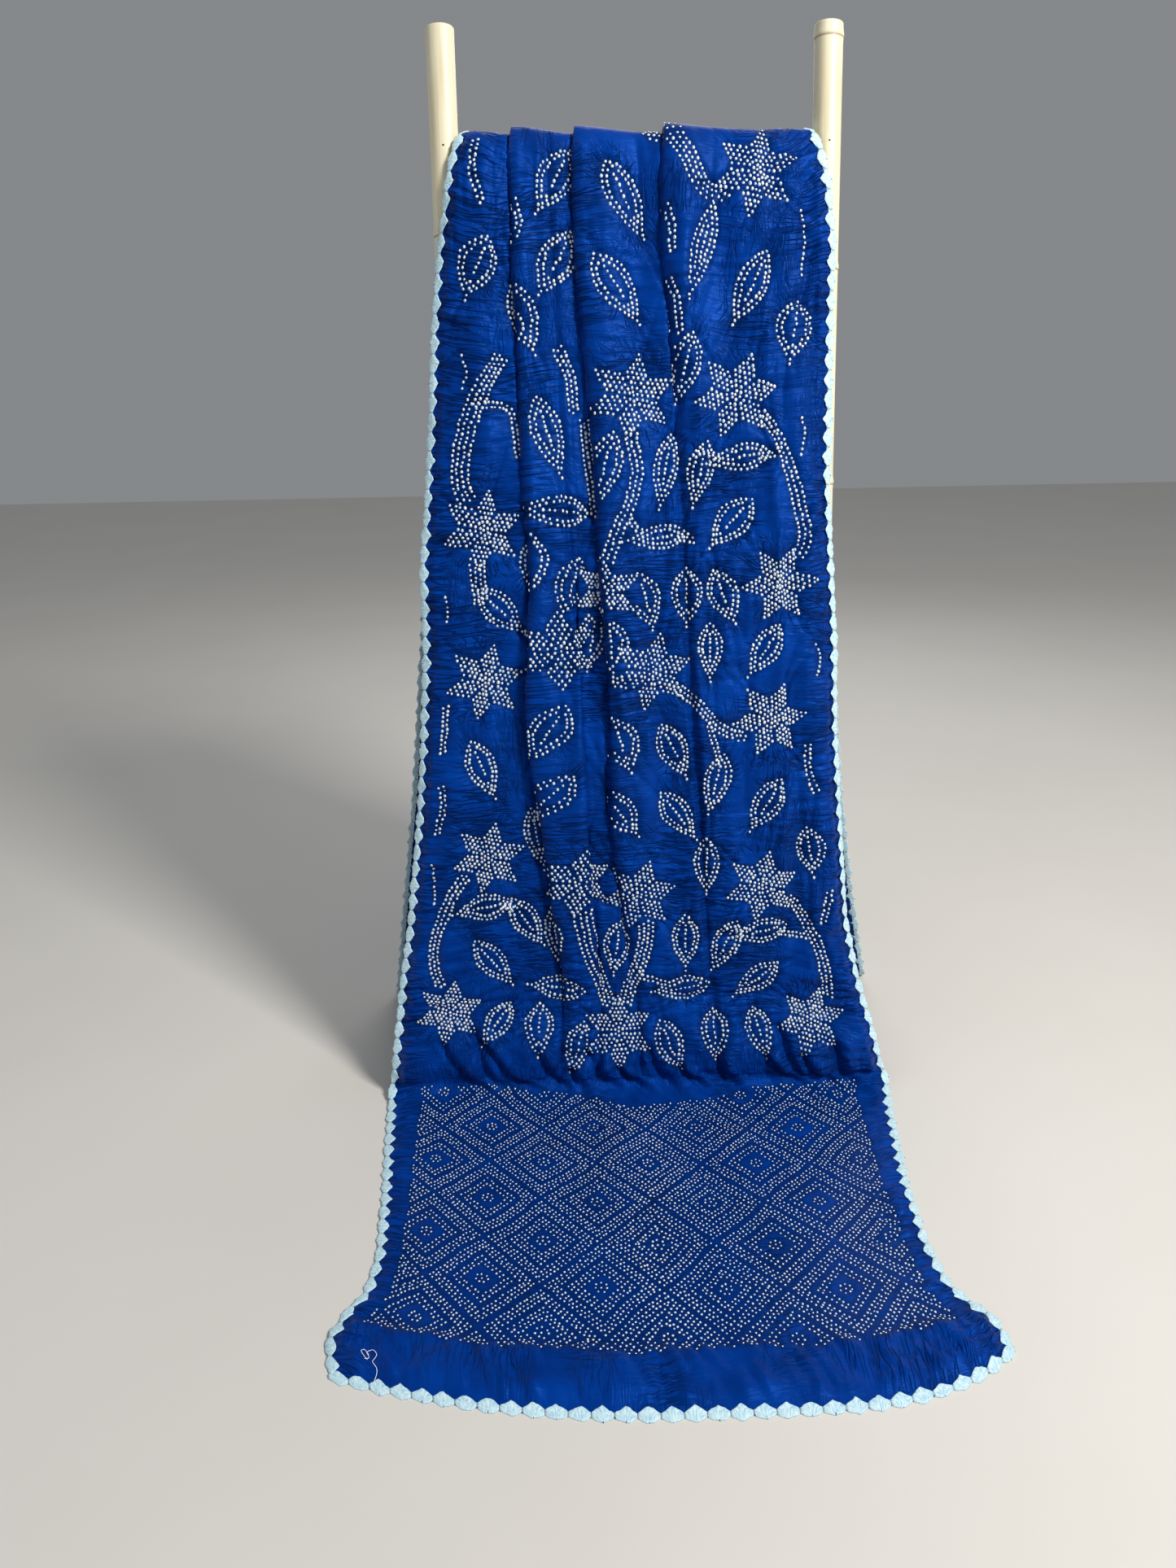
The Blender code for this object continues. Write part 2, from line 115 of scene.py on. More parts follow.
def add_floor():
    """A flat square under the cloth's lowest point, painted matt and pale."""
    half = FLOOR_SIZE / 2
    mesh = bpy.data.meshes.new("floor")
    corners = [(-half, -half, 0), (half, -half, 0), (half, half, 0), (-half, half, 0)]
    mesh.from_pydata(corners, [], [(0, 1, 2, 3)])
    floor = bpy.data.objects.new("floor", mesh)
    bpy.context.collection.objects.link(floor)
    finish, tree, shader = new_finish("matt pale paint", Roughness=0.75)
    place = add_node(tree, "ShaderNodeTexCoord").outputs["Object"]
    cloudy = add_node(tree, "ShaderNodeTexNoise", {"Vector": place, "Scale": 2.5, "Detail": 4.0})
    mixed = add_node(
        tree, "ShaderNodeMix",
        {0: cloudy.outputs[0], 6: linear("#D9D6D0"), 7: linear("#E1DED9")},
        data_type="RGBA",
    )
    tree.links.new(mixed.outputs[2], shader.inputs["Base Color"])
    mesh.materials.append(finish)


def add_lamps():
    """Square soft lamps and an even pale sky."""
    for name, place, target, size, watts, colour in LAMPS:
        lamp = bpy.data.lights.new(name, "AREA")
        lamp.size = size
        lamp.energy = watts
        lamp.color = linear(colour)[:3]
        holder = bpy.data.objects.new(name, lamp)
        bpy.context.collection.objects.link(holder)
        holder.location = place
        holder.rotation_euler = aim(place, target)
    world = bpy.data.worlds.new("pale room")
    bpy.context.scene.world = world
    world.use_nodes = True
    sky = world.node_tree.nodes["Background"]
    sky.inputs["Color"].default_value = linear("#E6EAEE")
    sky.inputs["Strength"].default_value = 0.30


add_camera()
add_floor()
add_lamps()
bpy.context.scene.view_settings.view_transform = "Standard"

# Bamboo poles
# Two peeled, planed bamboo canes that lean back together. Each is hollow between its
# joints, is sawn square at the top and cut level at the foot where it stands.
LEAN = 0.1658                 # how far the ladder leans back for each metre of height
FOOT_Y = 0.147                # pole axis at the floor
POLE_X = 0.2645               # pole axis from the middle
POLE_R = 0.0195
POLE_TOP = 1.517
POLE_STEPS = 150              # rings of points along a pole
POLE_SIDES = 64
KNUCKLE_PITCH = 0.290         # joints along a pole
KNUCKLE_FIRST = {-1: 0.100, 1: 0.050}   # height of the lowest one, left and right pole
KNUCKLE_RISE = 0.0012
KNUCKLE_HALF = 0.0055
KNUCKLE_GROOVE = 0.0008       # depth of the narrow sheath scar under a joint
GROOVE_BELOW = 0.0035         # how far under the joint it lies
GROOVE_HALF = 0.0011
TOP_JOINT = 1.502             # the right pole is sawn just above a joint
RIM_ROUND = 0.0022            # wear on the sawn edge
BORE_R = 0.0125
BORE_DEPTH = 0.030
WALL_UNEVEN = 0.00035


def ladder_y(height):
    """Y of the plane of the pole axes at a height."""
    return FOOT_Y + LEAN * height


def grid_faces(rows, columns):
    """Quads between neighbouring points of a grid that is stored row by row."""
    corner = (np.arange(rows - 1)[:, None] * columns + np.arange(columns - 1)).ravel()
    return np.stack((corner, corner + 1, corner + columns + 1, corner + columns), axis=1)


def add_piece(name, points, faces, finish, uv=None, marks=None, merge=0.0):
    """A smooth mesh from a table of points and one of faces, riding on the one body.

    uv holds a pair for each point, marks a named value for each point, and points
    closer than merge become one, which closes seams and poles."""
    mesh = bpy.data.meshes.new(name)
    corners = faces.shape[1]
    mesh.vertices.add(len(points))
    mesh.vertices.foreach_set("co", points.astype(np.float32).ravel())
    mesh.loops.add(faces.size)
    mesh.loops.foreach_set("vertex_index", faces.astype(np.int32).ravel())
    mesh.polygons.add(len(faces))
    mesh.polygons.foreach_set("loop_start", np.arange(len(faces), dtype=np.int32) * corners)
    mesh.update(calc_edges=True)
    if uv is not None:
        layer = mesh.uv_layers.new(name="chart")
        layer.data.foreach_set("uv", uv[faces.ravel()].astype(np.float32).ravel())
    for label, values in (marks or {}).items():
        mesh.attributes.new(label, "FLOAT", "POINT").data.foreach_set("value", values.astype(np.float32))
    if merge:
        work = bmesh.new()
        work.from_mesh(mesh)
        bmesh.ops.remove_doubles(work, verts=work.verts, dist=merge)
        bmesh.ops.recalc_face_normals(work, faces=work.faces)
        work.to_mesh(mesh)
        work.free()
    mesh.shade_smooth()
    mesh.materials.append(finish)
    piece = bpy.data.objects.new(name, mesh)
    bpy.context.collection.objects.link(piece)
    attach(piece, "root")
    return piece


def bamboo_finish():
    """Bamboo cane, peeled and planed: pale straw with long darker fibres, a dull polish."""
    finish, tree, shader = new_finish("peeled bamboo cane", Roughness=0.46, Coat_Weight=0.12)
    shader.inputs["Coat Roughness"].default_value = 0.35
    place = add_node(tree, "ShaderNodeUVMap", uv_map="chart").outputs[0]
    # Fibre bundles about 1.2 mm wide run the length of a cane for 100 mm and more.
    fibre_place = add_node(tree, "ShaderNodeMapping", {"Vector": place, "Scale": (800.0, 9.0, 1.0)})
    fibre = add_node(
        tree, "ShaderNodeTexNoise", {"Vector": fibre_place.outputs[0], "Scale": 1.0, "Detail": 3.0}
    )
    # Broad stains 12 mm wide.
    stain_place = add_node(tree, "ShaderNodeMapping", {"Vector": place, "Scale": (80.0, 6.0, 1.0)})
    stain = add_node(
        tree, "ShaderNodeTexNoise", {"Vector": stain_place.outputs[0], "Scale": 1.0, "Detail": 4.0}
    )
    fibre_part = add_node(
        tree, "ShaderNodeMapRange", {0: fibre.outputs[0], 1: 0.38, 2: 0.68, 3: 0.0, 4: 0.75}
    )
    stain_part = add_node(
        tree, "ShaderNodeMapRange", {0: stain.outputs[0], 1: 0.48, 2: 0.75, 3: 0.0, 4: 0.65}
    )
    straw = add_node(
        tree, "ShaderNodeMix",
        {0: fibre_part.outputs[0], 6: linear("#F1EBD0"), 7: linear("#E3D7B0")},
        data_type="RGBA",
    )
    stained = add_node(
        tree, "ShaderNodeMix",
        {0: stain_part.outputs[0], 6: straw.outputs[2], 7: linear("#D2C295")},
        data_type="RGBA",
    )
    # The mark browns the sheath scars under the joints and paints shade inside the bore.
    scar_and_bore_shade = add_node(tree, "ShaderNodeAttribute", attribute_name="scar_and_bore_shade")
    joined = add_node(
        tree, "ShaderNodeMix",
        {0: scar_and_bore_shade.outputs["Fac"], 6: stained.outputs[2], 7: linear("#8E7443")},
        data_type="RGBA",
    )
    tree.links.new(joined.outputs[2], shader.inputs["Base Color"])
    bump = add_node(
        tree, "ShaderNodeBump", {"Height": fibre.outputs[0], "Strength": 0.25, "Distance": 0.0004}
    )
    tree.links.new(bump.outputs[0], shader.inputs["Normal"])
    return finish


def bell(distance, half):
    """1 in the middle, fading to nothing over about twice the half width."""
    return np.exp(-((distance / half) ** 2))


def add_pole(name, side, finish):
    """A cane: circles along a leaning line, whose radius swells at each joint.

    The profile runs from the middle of the foot, up the outside, over the worn rim and
    down the bore to its floor. The foot's points slide along the line to the ground."""
    heights = np.linspace(0.0, POLE_TOP - RIM_ROUND, POLE_STEPS)
    knuckles = np.arange(KNUCKLE_FIRST[side], POLE_TOP, KNUCKLE_PITCH)
    if side > 0:
        knuckles = np.append(knuckles[:-1], TOP_JOINT)
    close = (knuckles[:, None] + np.linspace(-2.0, 2.0, 13) * KNUCKLE_HALF).ravel()
    heights = np.unique(np.concatenate((heights, close[(close > 0) & (close < heights[-1])])))
    gap = heights[:, None] - knuckles
    swell = KNUCKLE_RISE * bell(gap, KNUCKLE_HALF).max(axis=1)
    groove = bell(gap + GROOVE_BELOW, GROOVE_HALF).max(axis=1)
    turn = np.linspace(0.0, np.pi / 2, 6)[1:]
    rim_height = POLE_TOP - RIM_ROUND + RIM_ROUND * np.sin(turn)
    rim_radius = POLE_R - RIM_ROUND + RIM_ROUND * np.cos(turn)
    radius = np.concatenate((
        (0.0,), POLE_R + swell - KNUCKLE_GROOVE * groove, rim_radius,
        (BORE_R + 0.001, BORE_R, BORE_R, 0.0),
    ))
    height = np.concatenate((
        (0.0,), heights, rim_height,
        (POLE_TOP, POLE_TOP - 0.001, POLE_TOP - BORE_DEPTH, POLE_TOP - BORE_DEPTH),
    ))
    # The sheath scars, and inside the bore painted shade that darkens towards its floor.
    scar_and_bore_shade = np.concatenate(((0.0,), 0.85 * groove, np.zeros(len(turn)), (0.0, 0.3, 0.6, 0.6)))
    angle = np.linspace(0.0, 2 * np.pi, POLE_SIDES + 1)
    wall = WALL_UNEVEN * np.sin(3 * angle + side) * (radius[:, None] > BORE_R)
    wide = (radius[:, None] + wall)[..., None]
    axis = np.array((0.0, LEAN, 1.0)) / np.hypot(LEAN, 1.0)
    square = np.array((0.0, axis[2], -axis[1]))
    circle = np.cos(angle)[:, None] * (1.0, 0.0, 0.0) + np.sin(angle)[:, None] * square
    centre = np.stack((np.full(len(height), side * POLE_X), ladder_y(height), height), axis=1)
    points = centre[:, None] + wide * circle
    low = points[..., 2] < 0
    low[:2] = True
    points -= np.where(low, points[..., 2] / axis[2], 0.0)[..., None] * axis
    uv = np.stack(np.broadcast_arrays(angle * POLE_R + side * 0.3, height[:, None]), axis=-1)
    rows, columns = points.shape[:2]
    marks = {"scar_and_bore_shade": np.repeat(scar_and_bore_shade, columns)}
    pole = add_piece(
        f"bamboo_{name}", points.reshape(-1, 3), grid_faces(rows, columns), finish,
        uv.reshape(-1, 2), marks, merge=1e-6,
    )
    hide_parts(name)
    return pole


cane = bamboo_finish()
add_pole("pole_left", -1, cane)
add_pole("pole_right", 1, cane)

# Rungs
# Round bamboo rods, shaved to fit the curve of the poles, whose tenons go into blind
# holes there. A small wire nail through the front of each pole holds every tenon.
RUNG_R = 0.016
RUNG_COUNT = 5
RUNG_PITCH = 0.300
TOP_RUNG_Z = 1.3684
RUNG_SIDES = 48
RUNG_STEPS = 60
RUNG_WAVY = 0.0003            # how uneven a rung was shaved, in long and in short waves
RUNG_WAVY_FINE = 0.0002
RUNG_IN = 0.0006              # its ends lie this far inside the poles' surface
NAIL_R = 0.0017
NAIL_RISE = 0.0007
NAIL_SUNK = 0.0002            # its rim lies this far inside the pole's surface


def add_rung(number, height, finish):
    """A rod whose ends follow the poles' round sides: half length = pole place less the
    chord of the pole's circle at each point's distance from the pole's axis."""
    angle = np.linspace(0.0, 2 * np.pi, RUNG_SIDES + 1)
    share = np.concatenate(((-1.0,), np.linspace(-1.0, 1.0, RUNG_STEPS), (1.0,)))
    radius = RUNG_R + RUNG_WAVY * np.sin(share * 7.0 + number) + RUNG_WAVY_FINE * np.sin(share * 23.0)
    radius[[0, -1]] = 0.0
    y_off = radius[:, None] * np.cos(angle)
    z_off = radius[:, None] * np.sin(angle)
    from_axis = (y_off - LEAN * z_off) / np.hypot(LEAN, 1.0)
    half = POLE_X - np.sqrt(POLE_R ** 2 - from_axis ** 2) + RUNG_IN
    points = np.stack((share[:, None] * half, ladder_y(height) + y_off, height + z_off), axis=-1)
    uv = np.stack((angle * RUNG_R + np.zeros_like(half), points[..., 0] + number), axis=-1)
    rows, columns = points.shape[:2]
    rung = add_piece(
        f"bamboo_rung_{number}", points.reshape(-1, 3), grid_faces(rows, columns), finish,
        uv.reshape(-1, 2), {"scar_and_bore_shade": np.zeros(rows * columns)}, merge=1e-6,
    )
    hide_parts(f"rung_{number}")
    return rung


def nail_finish():
    """Drawn iron wire, left bare and gone dull brown."""
    finish, tree, shader = new_finish("dull iron wire", Metallic=0.9, Roughness=0.5)
    place = add_node(tree, "ShaderNodeTexCoord").outputs["Object"]
    # Rust freckles about 0.5 mm across.
    freckle = add_node(tree, "ShaderNodeTexNoise", {"Vector": place, "Scale": 2000.0})
    mixed = add_node(
        tree, "ShaderNodeMix",
        {0: freckle.outputs[0], 6: linear("#3A342E"), 7: linear("#5A4432")},
        data_type="RGBA",
    )
    tree.links.new(mixed.outputs[2], shader.inputs["Base Color"])
    return finish


def add_nails(heights):
    """Low domes on the poles' front sides, one at each end of every rung.

    A dome is circles of radius R cos(a) at rise H sin(a), from its rim to its top."""
    lift = np.linspace(0.0, np.pi / 2, 5)
    angle = np.linspace(0.0, 2 * np.pi, 13)
    out = np.array((0.0, -1.0, LEAN)) / np.hypot(LEAN, 1.0)
    up = np.array((0.0, LEAN, 1.0)) / np.hypot(LEAN, 1.0)
    ring = np.cos(angle)[:, None] * (1.0, 0.0, 0.0) + np.sin(angle)[:, None] * up
    dome = NAIL_R * np.cos(lift)[:, None, None] * ring + NAIL_RISE * np.sin(lift)[:, None, None] * out
    places = [(side * POLE_X, ladder_y(height), height) for height in heights for side in (-1, 1)]
    points = np.array(places)[:, None, None] + out * (POLE_R - NAIL_SUNK) + dome
    faces = grid_faces(*dome.shape[:2])
    shift = np.arange(len(places))[:, None, None] * dome.shape[0] * dome.shape[1]
    return add_piece(
        "nails", points.reshape(-1, 3), (faces + shift).reshape(-1, 4), nail_finish(), merge=1e-6
    )


rung_heights = [TOP_RUNG_Z - RUNG_PITCH * step for step in reversed(range(RUNG_COUNT))]
for rung_number, rung_height in enumerate(rung_heights, start=1):
    add_rung(rung_number, rung_height, cane)
add_nails(rung_heights)

# Tied pattern
# Before dyeing, the silk is pinched up and bound at each point, so that every knot
# leaves a small pale peak, some with a dark speck. Rows of them draw stars, leaves and vines
# on the hanging part and nested diamonds on the end panel. These tables are in millimetres.
KNOT_PITCH = 7.0              # along a row
ROW_PITCH = 6.5               # between rows
KNOT_APART = 5.2              # knots of one figure are no closer than this
# Each star: across, run, radius, and turn in degrees.
STARS = (
    (160, 1935, 57, 12), (-10, 1645, 57, 8), (135, 1645, 57, 20), (-230, 1465, 56, 10),
    (200, 1380, 54, 25), (-50, 1375, 48, 5), (-235, 1245, 56, 15), (-125, 1290, 56, 0),
    (15, 1255, 56, 12), (190, 1180, 55, 22), (-240, 975, 55, 14), (-105, 935, 52, 6),
    (-10, 910, 56, 18), (180, 920, 54, 10), (-310, 725, 52, 12), (-45, 685, 56, 0),
    (260, 695, 52, 16),
)
# Each leaf: across, run, lean, length, width. Lean is the turn of its tip to the right of
# upright, in degrees.
LEAVES = (
    (-115, 1930, 30, 88, 46), (-20, 1905, -28, 104, 42), (-115, 1825, 28, 88, 46),
    (-30, 1790, -32, 100, 42), (155, 1790, 26, 100, 40), (88, 1838, 15, 122, 28),
    (-225, 1820, 20, 80, 44), (-160, 1755, -18, 96, 40), (215, 1730, 5, 76, 42),
    (65, 1685, 14, 90, 38), (-130, 1595, -14, 108, 34), (-45, 1545, 12, 104, 36),
    (35, 1545, 10, 100, 34), (85, 1540, 14, 88, 36), (142, 1560, 80, 84, 34),
    (130, 1470, 40, 82, 44), (-120, 1490, 96, 86, 40), (25, 1450, 84, 84, 32),
    (-155, 1415, 4, 84, 44), (-105, 1385, 20, 80, 40), (5, 1360, -14, 80, 40),
    (65, 1365, 0, 78, 44), (120, 1365, -22, 78, 42), (-210, 1350, -46, 88, 42),
    (-75, 1305, 10, 84, 40), (-35, 1295, -4, 76, 38), (100, 1285, 0, 80, 36),
    (180, 1285, 30, 82, 38), (-245, 1115, -22, 88, 44), (-140, 1170, 24, 84, 40),
    (-25, 1150, -14, 80, 42), (45, 1135, -24, 84, 42), (110, 1085, 16, 88, 40),
    (-140, 1070, 36, 82, 40), (-30, 1045, -30, 80, 40), (50, 1035, -36, 84, 40),
    (185, 1050, 28, 86, 40), (-165, 1005, -10, 92, 34), (95, 955, 0, 84, 38),
    (255, 975, -8, 72, 38), (-250, 895, 80, 86, 38), (-185, 870, -32, 84, 40),
    (-240, 805, -38, 88, 40), (-140, 845, -8, 92, 30), (-45, 825, 8, 84, 42),
    (62, 832, 0, 84, 40), (125, 825, 26, 84, 40), (181, 846, 76, 78, 36),
    (175, 765, 52, 82, 38), (-138, 759, 98, 84, 38), (57, 753, 82, 86, 36),
    (-235, 705, 34, 76, 38), (-170, 695, 4, 74, 42), (-110, 665, 18, 76, 38),
    (37, 664, -24, 78, 40), (107, 679, -2, 74, 40), (178, 680, -16, 76, 38),
)
# Each vine: how many knots wide, then its places (across, run).
VINES = (
    (4, ((15, 1985), (38, 2004), (68, 1960), (84, 1924), (106, 1908), (128, 1918))),
    (4, ((-196, 1702), (-226, 1659), (-250, 1593), (-257, 1526), (-230, 1466), (-241, 1422), (-238, 1364))),
    (2, ((-238, 1637), (-187, 1631), (-175, 1570))),
    (3, ((-8, 1644), (-14, 1589), (-6, 1544), (-15, 1499), (-27, 1464), (-40, 1418))),
    (2, ((-15, 1476), (2, 1458), (73, 1445))),
    (3, ((137, 1645), (190, 1597), (212, 1551), (227, 1494), (234, 1436), (201, 1380))),
    (2, ((191, 1563), (142, 1560), (87, 1565))),
    (3, ((13, 1256), (73, 1212), (116, 1168), (153, 1155), (192, 1178))),
    (2, ((97, 1175), (116, 1118))),
    (3, ((-242, 977), (-286, 936), (-313, 878), (-329, 812), (-310, 726))),
    (2, ((-281, 897), (-212, 895), (-186, 870))),
    (4, ((-104, 934), (-102, 885), (-93, 832), (-75, 777), (-48, 694))),
    (4, ((-8, 912), (2, 856), (-7, 802), (-24, 762), (-45, 690))),
    (2, ((-5, 775), (57, 753))),
    (3, ((179, 921), (231, 889), (264, 834), (281, 780), (286, 725), (258, 695))),
    (2, ((252, 835), (181, 846), (143, 851))),
    (2, ((-219, 1980), (-225, 1940), (-217, 1903))),
    (2, ((-165, 1903), (-158, 1875), (-166, 1851))),
    (2, ((-160, 2015), (-125, 2024), (-60, 2012))),
    (1, ((-247, 1703), (-243, 1682), (-249, 1660))),
    (1, ((222, 1887), (228, 1850), (224, 1803))),
    (1, ((227, 1613), (232, 1590), (228, 1562))),
    (3, ((-117, 1711), (-100, 1672), (-97, 1629))),
    (3, ((-80, 1615), (-76, 1570), (-70, 1525), (-66, 1486))),
    (2, ((44, 1893), (51, 1868), (52, 1838))),
    (3, ((45, 1800), (53, 1770), (56, 1733))),
    (1, ((-286, 1371), (-282, 1352), (-284, 1335))),
    (2, ((-292, 1211), (-295, 1178), (-299, 1143))),
    (2, ((-303, 1090), (-303, 1055), (-313, 1018))),
    (1, ((-324, 968), (-321, 935), (-322, 905))),
    (2, ((248, 1141), (249, 1105), (259, 1070))),
    (2, ((282, 910), (279, 885), (276, 861))),
    (1, ((255, 1290), (260, 1269), (256, 1245))),
)
STAR_ARMS = 6
# Rows of knots across one arm of a star: distance from its middle, number of knots.
ARM_ROWS = ((12.5, 2), (19.0, 3), (25.5, 4), (32.0, 5), (38.5, 4), (45.0, 3), (51.5, 2), (58.0, 1))
STAR_BASE = 58                # the radius for which those distances hold
STAR_HEART = 6.2              # radius of the ring of six round its middle knot
LEAF_ROWS = 2                 # rows of knots round a leaf
LEAF_FOOT = -0.48             # below this share of its half length a leaf is filled
LEAF_TOP_HEAVY = 0.28         # how much fuller its upper half is
RIB_FROM = -0.20              # shares of the length between which the midrib lies
RIB_TO = 0.30
STEM_KNOTS = 1                # single knots that draw out its foot
LEAF_OFF_STAR = 46            # a leaf's knots this close to a star's middle are left out
VINE_OFF_STAR = 44            # the same for a vine's knots
VINE_OFF_LEAF = 26            # and for those close to a leaf's middle
PANEL_FIRST = (-12, 404)      # middle of one diamond of the panel
PANEL_ACROSS = 155            # width of a diamond
PANEL_LONG = 160
PANEL_PITCH = 6.7             # along a row of the panel
PANEL_SKEW = -0.05            # the panel's rows slope a little
PANEL_FROM = 68               # run of its lower edge
PANEL_TO = 578                # and of its upper edge
PANEL_DIP = 40                # how much lower its top edge lies in the middle
PANEL_DIP_HALF = 140          # half the width of that dip
PANEL_CLIMB = 0.055           # how fast its top edge climbs to the left
PANEL_MARGIN = 26             # plain border between the panel and the edging
PANEL_MARGIN_TOP = 18         # how much wider it is at the panel's top
WIDEN_FROM = 250              # run from which it widens
WIDEN_OVER = 300              # and the length over which it does
FIELD_GAP = 6                 # least gap between the panel's top and the knots above it
FIELD_MARGIN = 0.012          # those keep this far inside the cloth's edges, in metres
# Rings of a diamond as shares of its size: three sets, used in turn.
PANEL_RINGS = (
    (0.90, 0.80, 0.70, 0.52, 0.42, 0.31),
    (0.91, 0.80, 0.70, 0.57, 0.41, 0.31),
    (0.90, 0.80, 0.70, 0.50, 0.38),
)
PANEL_HEART = 7.5             # radius of the knots round a diamond's middle
HEART_KNOTS = 7
KNOT_STRAY = 0.55             # how far a knot lies from its marked place
BACK_MIRROR = 4030            # the back repeats the front, turned about the top rung
chance = np.random.default_rng(11)


def even_steps(points, pitch):
    """Places at equal steps along a line through points."""
    length = np.concatenate(([0.0], np.cumsum(np.linalg.norm(np.diff(points, axis=0), axis=1))))
    steps = max(int(round(length[-1] / pitch)), 1)
    places = np.linspace(0.0, length[-1], steps + 1)
    return np.stack([np.interp(places, length, points[:, axis]) for axis in (0, 1)], axis=1)


def smooth_line(points):
    """A curve through points: cubic pieces whose slope at each is half its neighbours' gap."""
    marks = np.array(points, float)
    marks = np.vstack((2 * marks[0] - marks[1], marks, 2 * marks[-1] - marks[-2]))
    part = np.linspace(0.0, 1.0, 16, endpoint=False)[:, None]
    pieces = []
    for first, start, stop, last in zip(marks[:-3], marks[1:-2], marks[2:-1], marks[3:]):
        bent = 2 * first - 5 * start + 4 * stop - last
        curl = 3 * start - first - 3 * stop + last
        pieces.append(start + 0.5 * part * (stop - first + part * (bent + part * curl)))
    return np.vstack(pieces + [marks[-2:-1]])


def apart(knots, least):
    """Only the knots that have no earlier one closer than least."""
    gaps = np.linalg.norm(knots[:, None] - knots, axis=2) + 99.0 * np.triu(np.ones((len(knots),) * 2))
    return knots[(gaps > least).all(axis=1)]


def turned(knots, degrees):
    """Knots turned clockwise, so that "up" leans to the right."""
    cos, sin = np.cos(np.radians(degrees)), np.sin(np.radians(degrees))
    return np.stack((knots[:, 0] * cos + knots[:, 1] * sin, knots[:, 1] * cos - knots[:, 0] * sin), axis=1)


def ring_of(count, radius):
    """Equal steps round a circle."""
    angle = 2 * np.pi * np.arange(count) / count
    return np.stack((np.sin(angle), np.cos(angle)), axis=1) * radius


def star(radius, turn):
    """Six arms of rows that widen from two knots to five, then narrow to one at the tip,
    round a middle knot and its ring of six."""
    arm = np.vstack([
        np.stack(((np.arange(count) - (count - 1) / 2) * ROW_PITCH, np.full(count, reach)), axis=1)
        for reach, count in ARM_ROWS
    ]) * radius / STAR_BASE
    arms = [turned(arm, turn + 360 / STAR_ARMS * number) for number in range(STAR_ARMS)]
    return np.vstack([np.zeros((1, 2)), ring_of(STAR_ARMS, STAR_HEART)] + arms)


def leaf(lean, length, width):
    """Rows of knots inside a lens of half width w (1 - y^2) (1 + h y), its foot filled and
    drawn out to a stem, and a midrib."""
    share = np.linspace(-1.0, 1.0, 160)
    rows = []
    for number in range(4):
        half = width / 2 * (1 - share ** 2) * (1 + LEAF_TOP_HEAVY * share) - ROW_PITCH * number
        inside = (half >= 0) & ((share < LEAF_FOOT) | (number < LEAF_ROWS))
        if inside.sum() < 4:
            continue
        side = np.stack((half, share * length / 2), axis=1)[inside]
        rows.append(even_steps(side, KNOT_PITCH))
        rows.append(even_steps(side * (-1, 1), KNOT_PITCH))
    rows.append(even_steps(np.array(((0.0, RIB_FROM), (0.0, RIB_TO))) * length, KNOT_PITCH))
    stem = -length / 2 - KNOT_PITCH * (1 + np.arange(STEM_KNOTS))
    rows.append(np.stack((np.zeros(STEM_KNOTS), stem), axis=1))
    return turned(apart(np.vstack(rows), KNOT_APART), lean)


def vine(wide, points):
    """Rows of knots beside a smooth line, each set half a step on from the last."""
    line = even_steps(smooth_line(points), KNOT_PITCH)
    along = np.gradient(line, axis=0)
    along /= np.linalg.norm(along, axis=1, keepdims=True)
    square = along[:, ::-1] * (1, -1)
    rows = []
    for number in range(wide):
        offset = (number - (wide - 1) / 2) * ROW_PITCH
        rows.append(line + square * offset + along * KNOT_PITCH / 2 * (number % 2))
    return apart(np.vstack(rows), KNOT_APART)


def clear_of(knots, figures, reach):
    """Only the knots further than reach from the middle of every figure."""
    middles = np.array(figures)[:, :2]
    return knots[(np.linalg.norm(knots[:, None] - middles, axis=2) > reach).all(axis=1)]


def field_knots():
    """The stars, leaves and vines of the front, and the tips that pull at the silk.

    A tip is a place and the direction that it points in."""
    knots = []
    tips = []
    for across, run, radius, turn in STARS:
        knots.append(star(radius, turn) + (across, run))
        spokes = turned(ring_of(STAR_ARMS, 1.0), turn)
        tips.append(np.hstack((spokes * radius + (across, run), spokes)))
    for across, run, lean, length, width in LEAVES:
        knots.append(clear_of(leaf(lean, length, width) + (across, run), STARS, LEAF_OFF_STAR))
        ends = turned(np.array(((0.0, 1.0), (0.0, -1.0))), lean)
        tips.append(np.hstack((ends * length / 2 + (across, run), ends)))
    for wide, points in VINES:
        placed = clear_of(vine(wide, points), STARS, VINE_OFF_STAR)
        knots.append(clear_of(placed, LEAVES, VINE_OFF_LEAF))
    return np.vstack(knots), np.vstack(tips)


